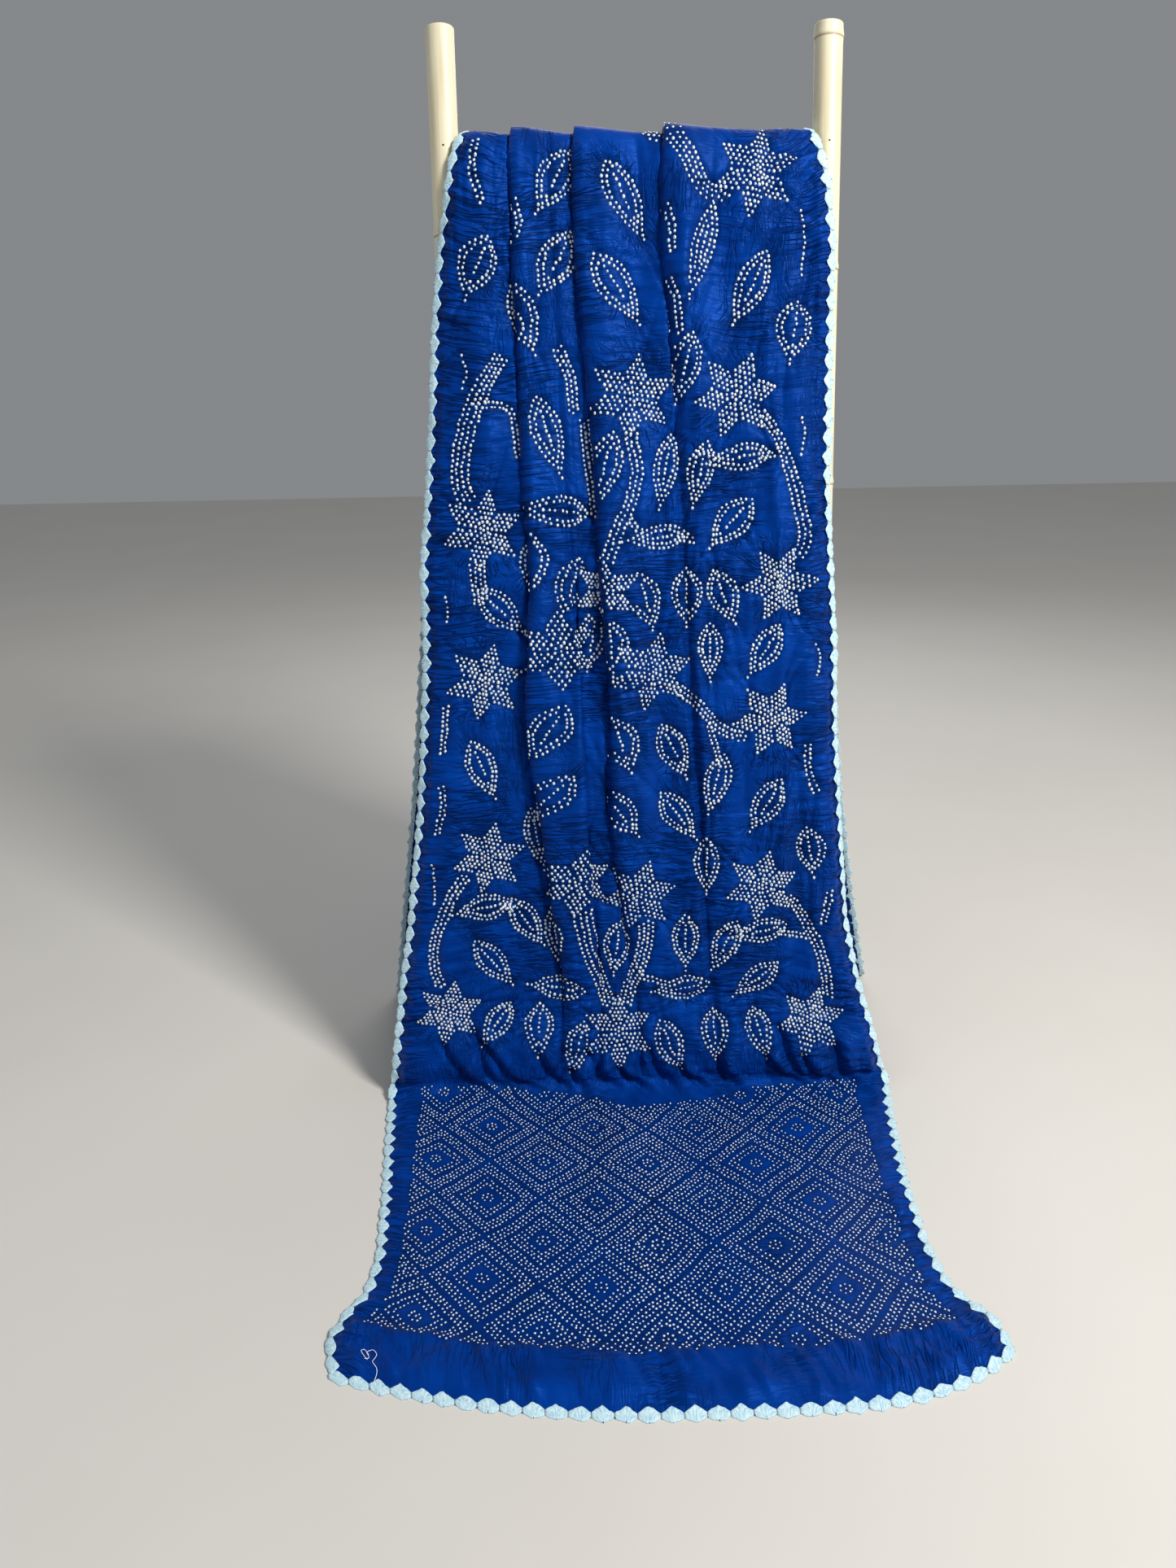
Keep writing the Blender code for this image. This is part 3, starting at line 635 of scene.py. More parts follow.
def panel_knots():
    """Nested diamonds |x| / a + |y| / b = ring, on two sets of middles half a step apart."""
    half = np.array((PANEL_ACROSS, PANEL_LONG)) / 2
    corners = np.array(((1, 0), (0, 1), (-1, 0), (0, -1))) * half
    step = np.arange(-4, 5)
    whole = np.stack(np.meshgrid(step, step), axis=-1).reshape(-1, 2)
    middles = np.vstack((whole, whole + 0.5)) * (PANEL_ACROSS, PANEL_LONG) + PANEL_FIRST
    knots = []
    for number, middle in enumerate(middles):
        figure = [np.zeros((1, 2)), ring_of(HEART_KNOTS, PANEL_HEART)]
        for ring in np.array(PANEL_RINGS[number % len(PANEL_RINGS)]) + chance.normal(0.0, 0.008):
            count = int(round(ring * np.hypot(*half) / PANEL_PITCH))
            part = (np.arange(count)[:, None] + chance.uniform(-0.2, 0.2)) / count
            for start, stop in zip(corners, np.roll(corners, -1, axis=0)):
                figure.append(ring * (start + (stop - start) * part))
        knots.append(np.vstack(figure) + middle)
    knots = np.vstack(knots)
    # Rows marked by hand wander by about 2 mm, and so do the panel's edges.
    knots[:, 1] += PANEL_SKEW * knots[:, 0] + 2.2 * np.sin(knots[:, 0] / 27.0 + knots[:, 1] / 43.0)
    knots[:, 0] += 1.8 * np.sin(knots[:, 1] / 24.0 + knots[:, 0] / 51.0)
    low = PANEL_FROM + 3 * np.sin(knots[:, 0] / 31.0)
    high = PANEL_TO + 4 * np.sin(knots[:, 0] / 23.0) - PANEL_DIP * bell(knots[:, 0], PANEL_DIP_HALF)
    high = high + PANEL_CLIMB * np.maximum(-knots[:, 0], 0.0)
    return knots[(knots[:, 1] > low) & (knots[:, 1] < high)]


def strayed(knots):
    """Knots moved a little off their marks, as a hand ties them."""
    return knots + chance.normal(0.0, KNOT_STRAY, knots.shape)


front_knots, front_tips = field_knots()
front_knots = strayed(front_knots)
panel = strayed(panel_knots())
over_rung = front_knots[:, 1] < BACK_MIRROR / 2
back_knots = front_knots[over_rung] * (-1, -1) + (0, BACK_MIRROR)
back_tips = front_tips * (-1, -1, -1, -1) + (0, BACK_MIRROR, 0, 0)
pull_tips = np.vstack((front_tips, back_tips)) * (0.001, 0.001, 1, 1)

# Cloth
# One length of thin satin silk, 0.86 m wide and about 3.46 m long, dyed deep blue. It
# lies forward on the floor, climbs the front of the ladder, goes over the top rung and
# falls behind it. Its folds, gathers and the crumple left by the knots are all in it.
THICK = 0.002
HEM_Y = -0.477
TAIL_Y = 0.477
FRONT_OFF = 0.0245            # cloth in front of the plane of the pole axes
RUNG_SEAT = 0.0006
BEND_Z = 1.300                # where the front turns in towards the rung
BACK_SLOPE = 5.0              # degrees, just behind the rung
BACK_Z = 1.200                # below this the back hangs plumb
KNEE_R = 0.035
BEND_R = 0.150
TAIL_R = 0.030
BOW_LEFT = 0.065              # how far the hem's corners lie behind its middle
BOW_RIGHT = 0.078
BOW_SIDE = 0.400              # where those depths are reached, from the middle
BOW_LEFT_POWER = 2            # how sharply the hem bends back to each corner
BOW_RIGHT_POWER = 4.5
BOW_END = 0.560               # run at which the bow has faded out
HEM_REACH = 0.019             # the plain border is stretched this far forward
HEM_REACH_RUN = 0.100         # from the hem to this run

# Places across the cloth for each run: both edges and the lines of its folds.
PLAN_COLUMNS = ("run", "left", "fold_1", "tube", "fold_2", "fold_3", "right")
FOLD_NAMES = PLAN_COLUMNS[2:-1]
PLAN = (
    (0.000, -0.409, -0.205, -0.120, -0.030, 0.130, 0.391),
    (0.0375, -0.420, -0.205, -0.120, -0.030, 0.130, 0.385),
    (0.0875, -0.406, -0.200, -0.118, -0.028, 0.128, 0.361),
    (0.125, -0.386, -0.195, -0.115, -0.026, 0.126, 0.346),
    (0.200, -0.378, -0.190, -0.110, -0.024, 0.124, 0.339),
    (0.325, -0.385, -0.180, -0.100, -0.020, 0.122, 0.345),
    (0.450, -0.395, -0.165, -0.090, -0.016, 0.120, 0.360),
    (0.5875, -0.404, -0.145, -0.080, -0.012, 0.118, 0.379),
    (0.6875, -0.390, -0.130, -0.076, -0.012, 0.110, 0.353),
    (0.775, -0.379, -0.126, -0.076, -0.020, 0.100, 0.329),
    (0.8625, -0.363, -0.134, -0.085, -0.030, 0.095, 0.311),
    (1.0375, -0.340, -0.147, -0.099, -0.042, 0.085, 0.2975),
    (1.1625, -0.328, -0.166, -0.104, -0.038, 0.075, 0.288),
    (1.2875, -0.3185, -0.160, -0.103, -0.041, 0.068, 0.2845),
    (1.4125, -0.3165, -0.154, -0.108, -0.049, 0.062, 0.2755),
    (1.525, -0.304, -0.160, -0.112, -0.055, 0.056, 0.268),
    (1.6375, -0.293, -0.163, -0.117, -0.062, 0.052, 0.2675),
    (1.750, -0.284, -0.165, -0.120, -0.072, 0.047, 0.267),
    (1.850, -0.272, -0.167, -0.123, -0.080, 0.040, 0.268),
    (1.925, -0.257, -0.169, -0.125, -0.082, 0.040, 0.258),
    (1.9625, -0.248, -0.170, -0.125, -0.082, 0.042, 0.248),
    (1.9875, -0.239, -0.170, -0.125, -0.082, 0.042, 0.239),
    (2.000, -0.2325, -0.170, -0.125, -0.082, 0.042, 0.2325),
    (2.020, -0.2325, -0.170, -0.125, -0.082, 0.042, 0.2325),
    (2.075, -0.230, -0.168, -0.125, -0.082, 0.044, 0.230),
    (2.1625, -0.251, -0.172, -0.128, -0.084, 0.048, 0.252),
    (2.4625, -0.306, -0.190, -0.135, -0.085, 0.060, 0.284),
    (2.600, -0.326, -0.197, -0.138, -0.086, 0.066, 0.300),
    (3.000, -0.372, -0.215, -0.145, -0.086, 0.082, 0.348),
    (3.1875, -0.400, -0.224, -0.148, -0.086, 0.090, 0.378),
    (3.375, -0.426, -0.232, -0.152, -0.086, 0.098, 0.414),
    (3.475, -0.433, -0.234, -0.154, -0.086, 0.100, 0.424),
)

# Height of each fold above the cloth's lowest layer, and the width of the tube's far side.
HEIGHT_COLUMNS = ("run", "fold_1", "fold_2", "fold_3", "tube_side")
HEIGHTS = (
    (0.620, 0.000, 0.000, 0.000, 0.012),
    (0.750, 0.006, 0.000, 0.000, 0.006),
    (0.850, 0.020, 0.005, 0.000, 0.004),
    (1.050, 0.027, 0.018, 0.000, 0.004),
    (1.300, 0.025, 0.021, 0.000, 0.004),
    (1.420, 0.018, 0.020, 0.000, 0.014),
    (1.520, 0.016, 0.018, 0.000, 0.030),
    (1.640, 0.015, 0.016, 0.003, 0.034),
    (1.850, 0.015, 0.015, 0.014, 0.034),
    (2.010, 0.008, 0.009, 0.011, 0.034),
    (2.200, 0.012, 0.012, 0.012, 0.034),
    (2.800, 0.014, 0.012, 0.010, 0.034),
    (3.300, 0.012, 0.010, 0.010, 0.034),
    (3.400, 0.000, 0.000, 0.000, 0.034),
)
LIP_HALF = 0.004              # half the width of a fold's steep side
LIP_OVER = 0.013              # how far a fold's lip hangs over the layer below
LIP_FADE = 0.034              # how soon that sideways pull fades behind the lip
FULL_TUBE = 0.026             # height at which the tube's lips hang over that far
FULL_FOLD = 0.020             # the same for the other folds
FOLD_REACH = 0.055            # how far a fold's back slopes down

# Soft upright ridges between the folds: X at the floor, X at the rung, half width, height.
RIDGES = (
    (-0.315, -0.215, 0.026, 0.008),
    (0.175, 0.120, 0.034, 0.009),
    (0.285, 0.195, 0.024, 0.008),
)
RIDGE_FROM = 0.74             # runs between which the ridges stand
RIDGE_TO = 3.36
RIDGE_FADE = 0.12
RIDGE_ON_RUNG = 0.3           # share of their height left on the rung
RUNG_SPAN = 0.06              # how far from the rung they are still lowered
HANG = 1.3                    # length of cloth that hangs on each side of the rung

# The puffed band where the hanging cloth bunches above the floor.
PUFF_RUN = 0.664
PUFF_HALF = 0.036             # how soon it fades upwards
PUFF_LOW_HALF = 0.092         # and towards the floor
PUFF_RISE = 0.021
PUFF_STRAY = 0.009            # how far its crest wanders
PUFF_UNEVEN = 0.30            # share by which its humps differ
LIFT_FROM = 0.515             # the floor part stays flat up to this run
LIFT_FADE = 0.075             # and rises to its folds over this length
TAIL_FADE = 0.05              # the same where it comes down to the tail


def rise(value):
    """Smooth step from 0 at -1 to 1 at +1."""
    part = np.clip(value * 0.5 + 0.5, 0.0, 1.0)
    return part * part * (3.0 - 2.0 * part)


def column(table, names, name, run):
    """One named column of a table, read at each run."""
    rows = np.array(table)
    return np.interp(run, rows[:, 0], rows[:, names.index(name)])


def cloth_corners():
    """Corners of the cloth's side view as (y, z, rounding radius), from hem to tail."""
    floor = THICK / 2
    wrap = RUNG_R + RUNG_SEAT + THICK / 2
    rung = np.array([ladder_y(TOP_RUNG_Z), TOP_RUNG_Z])
    front = FRONT_OFF * np.sqrt(1 + LEAN ** 2)
    knee_y = ladder_y(floor) - front
    bend_y = ladder_y(BEND_Z) - front
    reach = rung - np.array([bend_y, BEND_Z])
    slope = np.arctan2(reach[0], reach[1]) - np.arcsin(wrap / np.hypot(*reach))
    back = np.radians(BACK_SLOPE)
    front_top = rung[0] - wrap * (1 - np.sin(slope)) / np.cos(slope)
    back_top = rung[0] + wrap * (1 - np.sin(back)) / np.cos(back)
    back_y = back_top + (rung[1] + wrap - BACK_Z) * np.tan(back)
    return (
        (HEM_Y, floor, 0.0),
        (knee_y, floor, KNEE_R),
        (bend_y, BEND_Z, BEND_R),
        (front_top, rung[1] + wrap, wrap),
        (back_top, rung[1] + wrap, wrap),
        (back_y, BACK_Z, BEND_R),
        (back_y, floor, TAIL_R),
        (TAIL_Y, floor, 0.0),
    )


def cloth_path():
    """Side view as straight stretches and arcs: rows of (length, start, heading, turn)."""
    corners = np.array(cloth_corners())
    pieces = []
    here = corners[0, :2]
    for before, corner, after in zip(corners[:-2], corners[1:-1], corners[2:]):
        into = corner[:2] - before[:2]
        out = after[:2] - corner[:2]
        heading = np.arctan2(into[1], into[0])
        turn = np.arctan2(into[0] * out[1] - into[1] * out[0], into @ out)
        tangent = corner[2] * abs(np.tan(turn / 2))
        start = corner[:2] - tangent * into / np.hypot(*into)
        pieces.append((np.hypot(*(start - here)), *here, heading, 0.0))
        pieces.append((corner[2] * abs(turn), *start, heading, turn))
        here = corner[:2] + tangent * out / np.hypot(*out)
    pieces.append((np.hypot(*(corners[-1, :2] - here)), *here, 0.0, 0.0))
    return np.array(pieces)


PATH = cloth_path()
PATH_STARTS = np.concatenate(([0.0], np.cumsum(PATH[:, 0])))
CLOTH_LENGTH = PATH_STARTS[-1]
RUNG_RUN = (PATH_STARTS[5] + PATH_STARTS[8]) / 2
TAIL_START = PATH_STARTS[11]


def path_at(run):
    """Y, Z and the outward direction (y, z) of the side view at each run."""
    index = np.clip(np.searchsorted(PATH_STARTS, run, side="right") - 1, 0, len(PATH) - 1)
    length, y, z, heading, turn = np.moveaxis(PATH[index], -1, 0)
    along = run - PATH_STARTS[index]
    bend = turn * along / np.maximum(length, 1e-9)
    chord = along * np.sinc(bend / (2 * np.pi))
    middle = heading + bend / 2
    facing = heading + bend + np.pi / 2
    return y + chord * np.cos(middle), z + chord * np.sin(middle), np.cos(facing), np.sin(facing)


def lip(distance):
    """Sideways pull behind a fold's lip: grows over its steep side, then fades."""
    behind = np.maximum(distance - LIP_HALF, 0.0)
    return rise(distance / LIP_HALF) * np.exp(-((behind / LIP_FADE) ** 2))


def fold_shape(across, run):
    """Height above the lowest layer and sideways pull of the folds at each place."""
    first = column(PLAN, PLAN_COLUMNS, "fold_1", run)
    tube = column(PLAN, PLAN_COLUMNS, "tube", run)
    side = column(HEIGHTS, HEIGHT_COLUMNS, "tube_side", run)
    high = column(HEIGHTS, HEIGHT_COLUMNS, "fold_1", run)
    far = 1.0 - rise((across - tube) / side)
    height = high * rise((across - first) / LIP_HALF) * far
    steep = LIP_HALF / side
    pull = steep * lip(tube - across) - far * lip(across - first)
    pull = pull * LIP_OVER * high / FULL_TUBE
    for name in ("fold_2", "fold_3"):
        place = column(PLAN, PLAN_COLUMNS, name, run)
        high = column(HEIGHTS, HEIGHT_COLUMNS, name, run)
        behind = np.maximum(across - place, 0.0) / FOLD_REACH
        height = height + high * rise((across - place) / LIP_HALF) * np.exp(-behind * behind)
        pull = pull - LIP_OVER * high / FULL_FOLD * lip(across - place)
    return height, pull


def ridge_height(across, run):
    """Height of the soft upright ridges, gone on the floor and low on the rung."""
    hanging = np.clip((run - RIDGE_FROM) / RIDGE_FADE, 0, 1)
    hanging = hanging * np.clip((RIDGE_TO - run) / RIDGE_FADE, 0, 1)
    away = np.abs(run - RUNG_RUN)
    on_rung = 1.0 - (1.0 - RIDGE_ON_RUNG) * np.exp(-((away / RUNG_SPAN) ** 2))
    climb = np.clip(1.0 - away / HANG, 0, 1)
    total = np.zeros_like(across)
    for low_x, top_x, half, height in RIDGES:
        place = low_x + (top_x - low_x) * climb
        total = total + height * np.exp(-(((across - place) / half) ** 2))
    return total * hanging * on_rung


def puff_height(across, run):
    """Uneven humps of the bunched band just above the floor, steeper above than below."""
    crest = PUFF_RUN + PUFF_STRAY * noise(across * 9.0, 0.0 * run, 30.0)
    humps = 1.0 - PUFF_UNEVEN * 0.5 + PUFF_UNEVEN * noise(across * 11.0, 0.0 * run, 31.0)
    half = np.where(run < crest, PUFF_LOW_HALF, PUFF_HALF)
    return PUFF_RISE * humps * bell(run - crest, half)


def cloth_point(across, run):
    """Place in space of the cloth's surface before its fine relief."""
    side = np.abs(across) / BOW_SIDE
    bow = np.where(across > 0, BOW_RIGHT * side ** BOW_RIGHT_POWER, BOW_LEFT * side ** BOW_LEFT_POWER)
    pulled = run + bow * np.clip(1.0 - run / BOW_END, 0.0, 1.0)
    pulled = pulled - HEM_REACH * np.clip(1.0 - run / HEM_REACH_RUN, 0.0, 1.0) ** 2
    y, z, facing_y, facing_z = path_at(pulled)
    height, pull = fold_shape(across, run)
    height = height + ridge_height(across, run) + puff_height(across, run)
    lifted = height * np.clip((pulled - LIFT_FROM) / LIFT_FADE, 0.0, 1.0)
    lifted = lifted * np.clip((TAIL_START - pulled) / TAIL_FADE, 0.0, 1.0)
    return np.stack((across + pull, y + facing_y * lifted, z + facing_z * lifted), axis=-1)


# Fine relief, in metres
GATHER_DEEP = 0.0085          # gathers drawn in from the edging
GATHER_WAVE = 0.0090
GATHER_REACH = 0.042
GATHER_REACH_TOP = 0.040      # how much further they reach close to the rung
GATHER_SLANT = 0.60           # close to the rung they run down and inwards
SLANT_OVER = 0.55             # how far from the rung that slant is gone
FOLD_GATHER_DEEP = 0.0060     # short level creases behind the lip of a fold
FOLD_GATHER_WAVE = 0.0085
FOLD_GATHER_REACH = 0.030
CRUMPLE_DEEP = 0.0052         # patches of short creases all over
CRUMPLE_WAVE = 0.0100
PILLOW = 0.0038               # the plain silk stands proud of the knotted figures
PUFF_DEEP = 0.0055            # soft puffs, about as wide as a leaf
SAG = 0.0060                  # slow unevenness of the hanging part
TIP_DEEP = 0.0050             # creases that run out from a figure's tips
TIP_REACH = 0.045
TIP_HALF = 0.0036
TIP_SPREAD = 0.0045           # half the gap between a tip's two creases
TIP_FAN = 0.10                # how fast that gap grows along them
TIP_LIMIT = 0.13              # runs further than this from a tip aren't worked out
LOW_TIPS = 0.700              # tips below this run pull long folds down into the bunched band
LOW_FOLD_DEEP = 0.0110
LOW_FOLD_REACH = 0.098
BAND_RUN = 0.622              # upright creases of the bunched band
BAND_HALF = 0.060
BAND_DEEP = 0.0085
KNEE_CREASE_RUN = 0.738       # a level crease above the bunched band
KNEE_CREASE_DEEP = 0.0050
BORDER_TO = 0.075             # crumpled plain border behind the hem
BORDER_DEEP = 0.0050
FLAT_SHARE = 0.35             # share of the crumple left in the flat end panel
HANG_FROM = 0.62              # run about which the hanging part's relief sets in
HANG_FADE = 0.03
LIP_SHARE = 0.40              # share of the relief left on the steep side of a fold
LEAST_HANG = -0.0015          # relief never reaches further in than this
LEAST_BAND = -0.0090          # save in the bunched band, which stands well out
BAND_ROOM = 0.030             # how far above its crest that holds
BAND_ROOM_LOW = 0.058         # and how far below it
SEAT_FADE = 0.030             # the relief fades out this close to the rung
OVER_POLE = 0.0065            # just below the rung the cloth's edges lie over the poles
OVER_POLE_RUN = 1.955
OVER_POLE_HALF = 0.055
# Broad soft swells and hollows of the hanging part: X at the floor, X at the rung, half
# width, height.
SWELLS = (
    (-0.250, -0.205, 0.016, 0.006), (-0.100, -0.150, 0.014, -0.006), (-0.040, -0.035, 0.022, 0.006),
    (0.035, 0.005, 0.018, -0.009), (0.095, 0.068, 0.018, 0.009), (0.175, 0.120, 0.019, -0.012),
    (0.225, 0.164, 0.018, 0.007), (0.330, 0.225, 0.016, -0.005),
)
SWELL_FROM = 0.80             # runs between which they stand
SWELL_TO = 3.3
SWELL_FADE = 0.15
SWELL_SWAY = 0.010            # how far each of them wanders sideways
# Map of how thickly the silk is knotted: its cells, its blur and where it starts.
DENSITY_CELL = 0.0025
DENSITY_BLUR = 0.0060
DENSITY_SIDE = 0.45
DENSITY_START = -0.02
BLUR_CELLS = 8                # how many cells its blur reaches


def noise(u, v, seed):
    """Smooth noise from -1 to 1: chance values at whole steps, eased between them."""
    low_u, low_v = np.floor(u), np.floor(v)
    ease_u, ease_v = rise((u - low_u) * 2 - 1), rise((v - low_v) * 2 - 1)

    def corner(step_u, step_v):
        mixed = np.sin((low_u + step_u) * 127.1 + (low_v + step_v) * 311.7 + seed * 74.7) * 43758.5453
        return 2.0 * (mixed - np.floor(mixed)) - 1.0

    low = corner(0, 0) * (1 - ease_u) + corner(1, 0) * ease_u
    high = corner(0, 1) * (1 - ease_u) + corner(1, 1) * ease_u
    return low * (1 - ease_v) + high * ease_v


def knot_density(knots):
    """How thickly the silk is knotted, 0 to 1: knots counted in cells, then blurred."""
    across_cells = np.arange(-DENSITY_SIDE, DENSITY_SIDE + 0.0001, DENSITY_CELL)
    run_cells = np.arange(DENSITY_START, CLOTH_LENGTH + 0.05, DENSITY_CELL)
    counts, _, _ = np.histogram2d(knots[:, 0], knots[:, 1], bins=(across_cells, run_cells))
    shifts = np.arange(-BLUR_CELLS, BLUR_CELLS + 1)
    weight = bell(shifts * DENSITY_CELL, DENSITY_BLUR)
    weight /= weight.sum()
    for axis in (0, 1):
        counts = sum(np.roll(counts, shift, axis=axis) * part for shift, part in zip(shifts, weight))
    return np.clip(counts * (KNOT_PITCH / 1000 / DENSITY_CELL) ** 2 * 1.15, 0.0, 1.0)


def read_density(density, across, run):
    """The density map read between its cells."""
    u = np.clip((across + DENSITY_SIDE) / DENSITY_CELL - 0.5, 0, density.shape[0] - 1.001)
    v = np.clip((run - DENSITY_START) / DENSITY_CELL - 0.5, 0, density.shape[1] - 1.001)
    i, j = u.astype(int), v.astype(int)
    part_u, part_v = u - i, v - j
    low = density[i, j] * (1 - part_u) + density[i + 1, j] * part_u
    high = density[i, j + 1] * (1 - part_u) + density[i + 1, j + 1] * part_u
    return low * (1 - part_v) + high * part_v


def tip_creases(across, run):
    """Narrow troughs from each tip, fading along it: two beside each other, a little apart."""
    total = np.zeros_like(across)
    for number, (tip_across, tip_run, east, north) in enumerate(pull_tips):
        near = np.abs(run[:, 0] - tip_run) < TIP_LIMIT
        u, v = across[near] - tip_across, run[near] - tip_run
        along = u * east + v * north
        beside = u * north - v * east
        reach = TIP_REACH * (0.7 + 0.6 * ((number * 0.37) % 1.0))
        bent = beside + 0.12 * along * np.sin(number * 1.7)
        spread = TIP_SPREAD + TIP_FAN * along
        lines = bell(bent - spread, TIP_HALF) + 0.7 * bell(bent + spread, TIP_HALF)
        total[near] += lines * rise((along + 0.002) / 0.004) * np.exp(-np.maximum(along, 0.0) / reach)
    return np.minimum(total, 1.5)


def low_folds(across, run):
    """A long trough down and to the right from each low tip, with a soft ridge beside it."""
    total = np.zeros_like(across)
    low = pull_tips[(pull_tips[:, 1] < LOW_TIPS) & (pull_tips[:, 3] < -0.2)]
    near = run[:, 0] < LOW_TIPS
    for number, (tip_across, tip_run) in enumerate(low[:, :2]):
        down = tip_run - run[near]
        lean = 0.15 + 0.55 * ((number * 0.61) % 1.0)
        beside = across[near] - tip_across - lean * down - 2.0 * down * np.abs(down)
        shape = bell(beside, 0.0055 + 0.05 * np.abs(down)) - 0.6 * bell(beside - 0.016, 0.011)
        total[near] += shape * rise((down + 0.004) / 0.010) * bell(down, LOW_FOLD_REACH)
    return LOW_FOLD_DEEP * np.clip(total, -1.0, 1.0)


def creased(u, v, seed):
    """Soft ridges parted by narrow creases: the size of the noise without its sign."""
    return np.abs(noise(u, v, seed))


def edge_distance(across, run):
    """Distance to the nearer side edge of the cloth."""
    left = column(PLAN, PLAN_COLUMNS, "left", run)
    right = column(PLAN, PLAN_COLUMNS, "right", run)
    return np.minimum(across - left, right - across)


def edge_gathers(across, run, edge):
    """Long creases inwards from the edging, level low down and slanting near the rung."""
    side = np.sign(across)
    near_rung = np.clip(1.0 - np.abs(run - RUNG_RUN) / SLANT_OVER, 0.0, 1.0)
    drawn = run + GATHER_SLANT * near_rung * edge * np.sign(RUNG_RUN - run)
    wide = creased(edge * 12.0 + side * 40.0, drawn / GATHER_WAVE, 1.0)
    fine = creased(edge * 22.0 + side * 40.0, drawn / GATHER_WAVE * 1.9, 2.0)
    uneven = 1.0 + 0.45 * noise(side * 5.0, run * 11.0, 3.0)
    reach = (GATHER_REACH + GATHER_REACH_TOP * near_rung) * uneven
    return GATHER_DEEP * (wide + 0.4 * fine) * np.exp(-((edge / reach) ** 2))


def fold_gathers(across, run):
    """Bundles of short level creases just behind the lip of each fold."""
    total = np.zeros_like(across)
    for seed, name in enumerate(FOLD_NAMES):
        behind = across - column(PLAN, PLAN_COLUMNS, name, run)
        bundle = np.clip(noise(seed * 3.0, run * 9.0, 14.0) + 0.35, 0.0, 1.0)
        near = rise(behind / 0.006) * np.exp(-np.maximum(behind, 0.0) / FOLD_GATHER_REACH)
        lines = creased(behind * 14.0 + seed * 9.0, (run + 0.2 * behind) / FOLD_GATHER_WAVE, 15.0)
        total = total + near * bundle * lines
    return FOLD_GATHER_DEEP * total


def crumple(across, run):
    """Patches of short level creases, and of fainter upright ones between them."""
    patch = np.clip(noise(across * 9.0, run * 8.0, 4.0) + 0.45, 0.0, 1.0)
    drift = 0.010 * noise(across * 14.0, run * 12.0, 5.0)
    level = creased(across * 16.0, (run + drift) / CRUMPLE_WAVE, 6.0)
    upright = creased((across + drift) / 0.0120, run * 14.0, 16.0)
    return CRUMPLE_DEEP * (level * (0.3 + 0.7 * patch) + 0.6 * upright * (1.0 - patch))


def band_creases(across, run):
    """Upright and slanting creases of the bunched band, and the level one above it."""
    band = bell(run - BAND_RUN, BAND_HALF)
    wide = creased((across + 0.35 * (run - BAND_RUN)) * 19.0, run * 5.0, 8.0)
    fine = creased((across - 0.5 * (run - BAND_RUN)) * 52.0, run * 13.0, 9.0)
    wander = KNEE_CREASE_RUN + 0.010 * noise(across * 9.0, 0.0 * run, 10.0)
    broken = np.clip(0.55 + 0.8 * noise(across * 8.0, 0.0 * run, 11.0), 0.0, 1.0)
    level = KNEE_CREASE_DEEP * broken * bell(run - wander, 0.0065)
    return BAND_DEEP * band * (1.3 * wide + 0.45 * fine) - level


def border_creases(across, run):
    """Short gathers at the hem's seam and a slanting crumple over the plain border."""
    border = rise((BORDER_TO - run) / 0.012)
    soft = 0.0085 * creased((across + 0.5 * run) * 48.0, run * 17.0 - across * 5.0, 48.0)
    drawn = creased(across / 0.0110, run * 12.0, 12.0) * np.exp(-run / 0.035)
    slanting = creased((across + 0.55 * run) * 42.0, (run - 0.3 * across) * 26.0, 13.0)
    return border * (BORDER_DEEP * (1.5 * drawn + 1.1 * slanting) + soft)


def relief(across, run, tied):
    """Height of the fine relief, square to the folds: the sum of the forms above and the
    swells, faded out on the rung, at the hem and on the steep side of each fold."""
    edge = edge_distance(across, run)
    hanging = rise((run - HANG_FROM) / HANG_FADE)
    seat = 1.0 - np.exp(-(((run - RUNG_RUN) / SEAT_FADE) ** 2))
    puffs = PUFF_DEEP * (0.5 + 0.5 * noise(across * 15.0, run * 10.0, 17.0))
    sag = SAG * (0.5 + 0.5 * noise(across * 6.0, run * 4.0, 7.0))
    pillows = PILLOW * (1.0 - tied) * rise(edge / 0.03 - 0.4)
    shaped = crumple(across, run) + pillows - TIP_DEEP * tip_creases(across, run)
    total = (sag + puffs) * hanging + shaped * (FLAT_SHARE + (1.0 - FLAT_SHARE) * hanging)
    total = total + swells(across, run)
    total = total + edge_gathers(across, run, edge) + fold_gathers(across, run) * hanging
    total = total + band_creases(across, run) + border_creases(across, run) - low_folds(across, run)
    for name in FOLD_NAMES:
        place = column(PLAN, PLAN_COLUMNS, name, run)
        total = total * (1.0 - (1.0 - LIP_SHARE) * bell(across - place, 1.6 * LIP_HALF) * hanging)
    in_band = bell(run - PUFF_RUN, np.where(run < PUFF_RUN, BAND_ROOM_LOW, BAND_ROOM))
    least = LEAST_HANG * hanging + LEAST_BAND * in_band - ridge_height(across, run)
    at_hem = rise(run / 0.012 - 1.0) * (0.3 + 0.7 * rise(edge / 0.009 - 1.0))
    over_pole = OVER_POLE * bell(edge, 0.018) * bell(run - OVER_POLE_RUN, OVER_POLE_HALF)
    over_pole = over_pole * rise((RUNG_RUN - 0.008 - run) / 0.010)
    return np.maximum(total * seat * at_hem, least) + over_pole


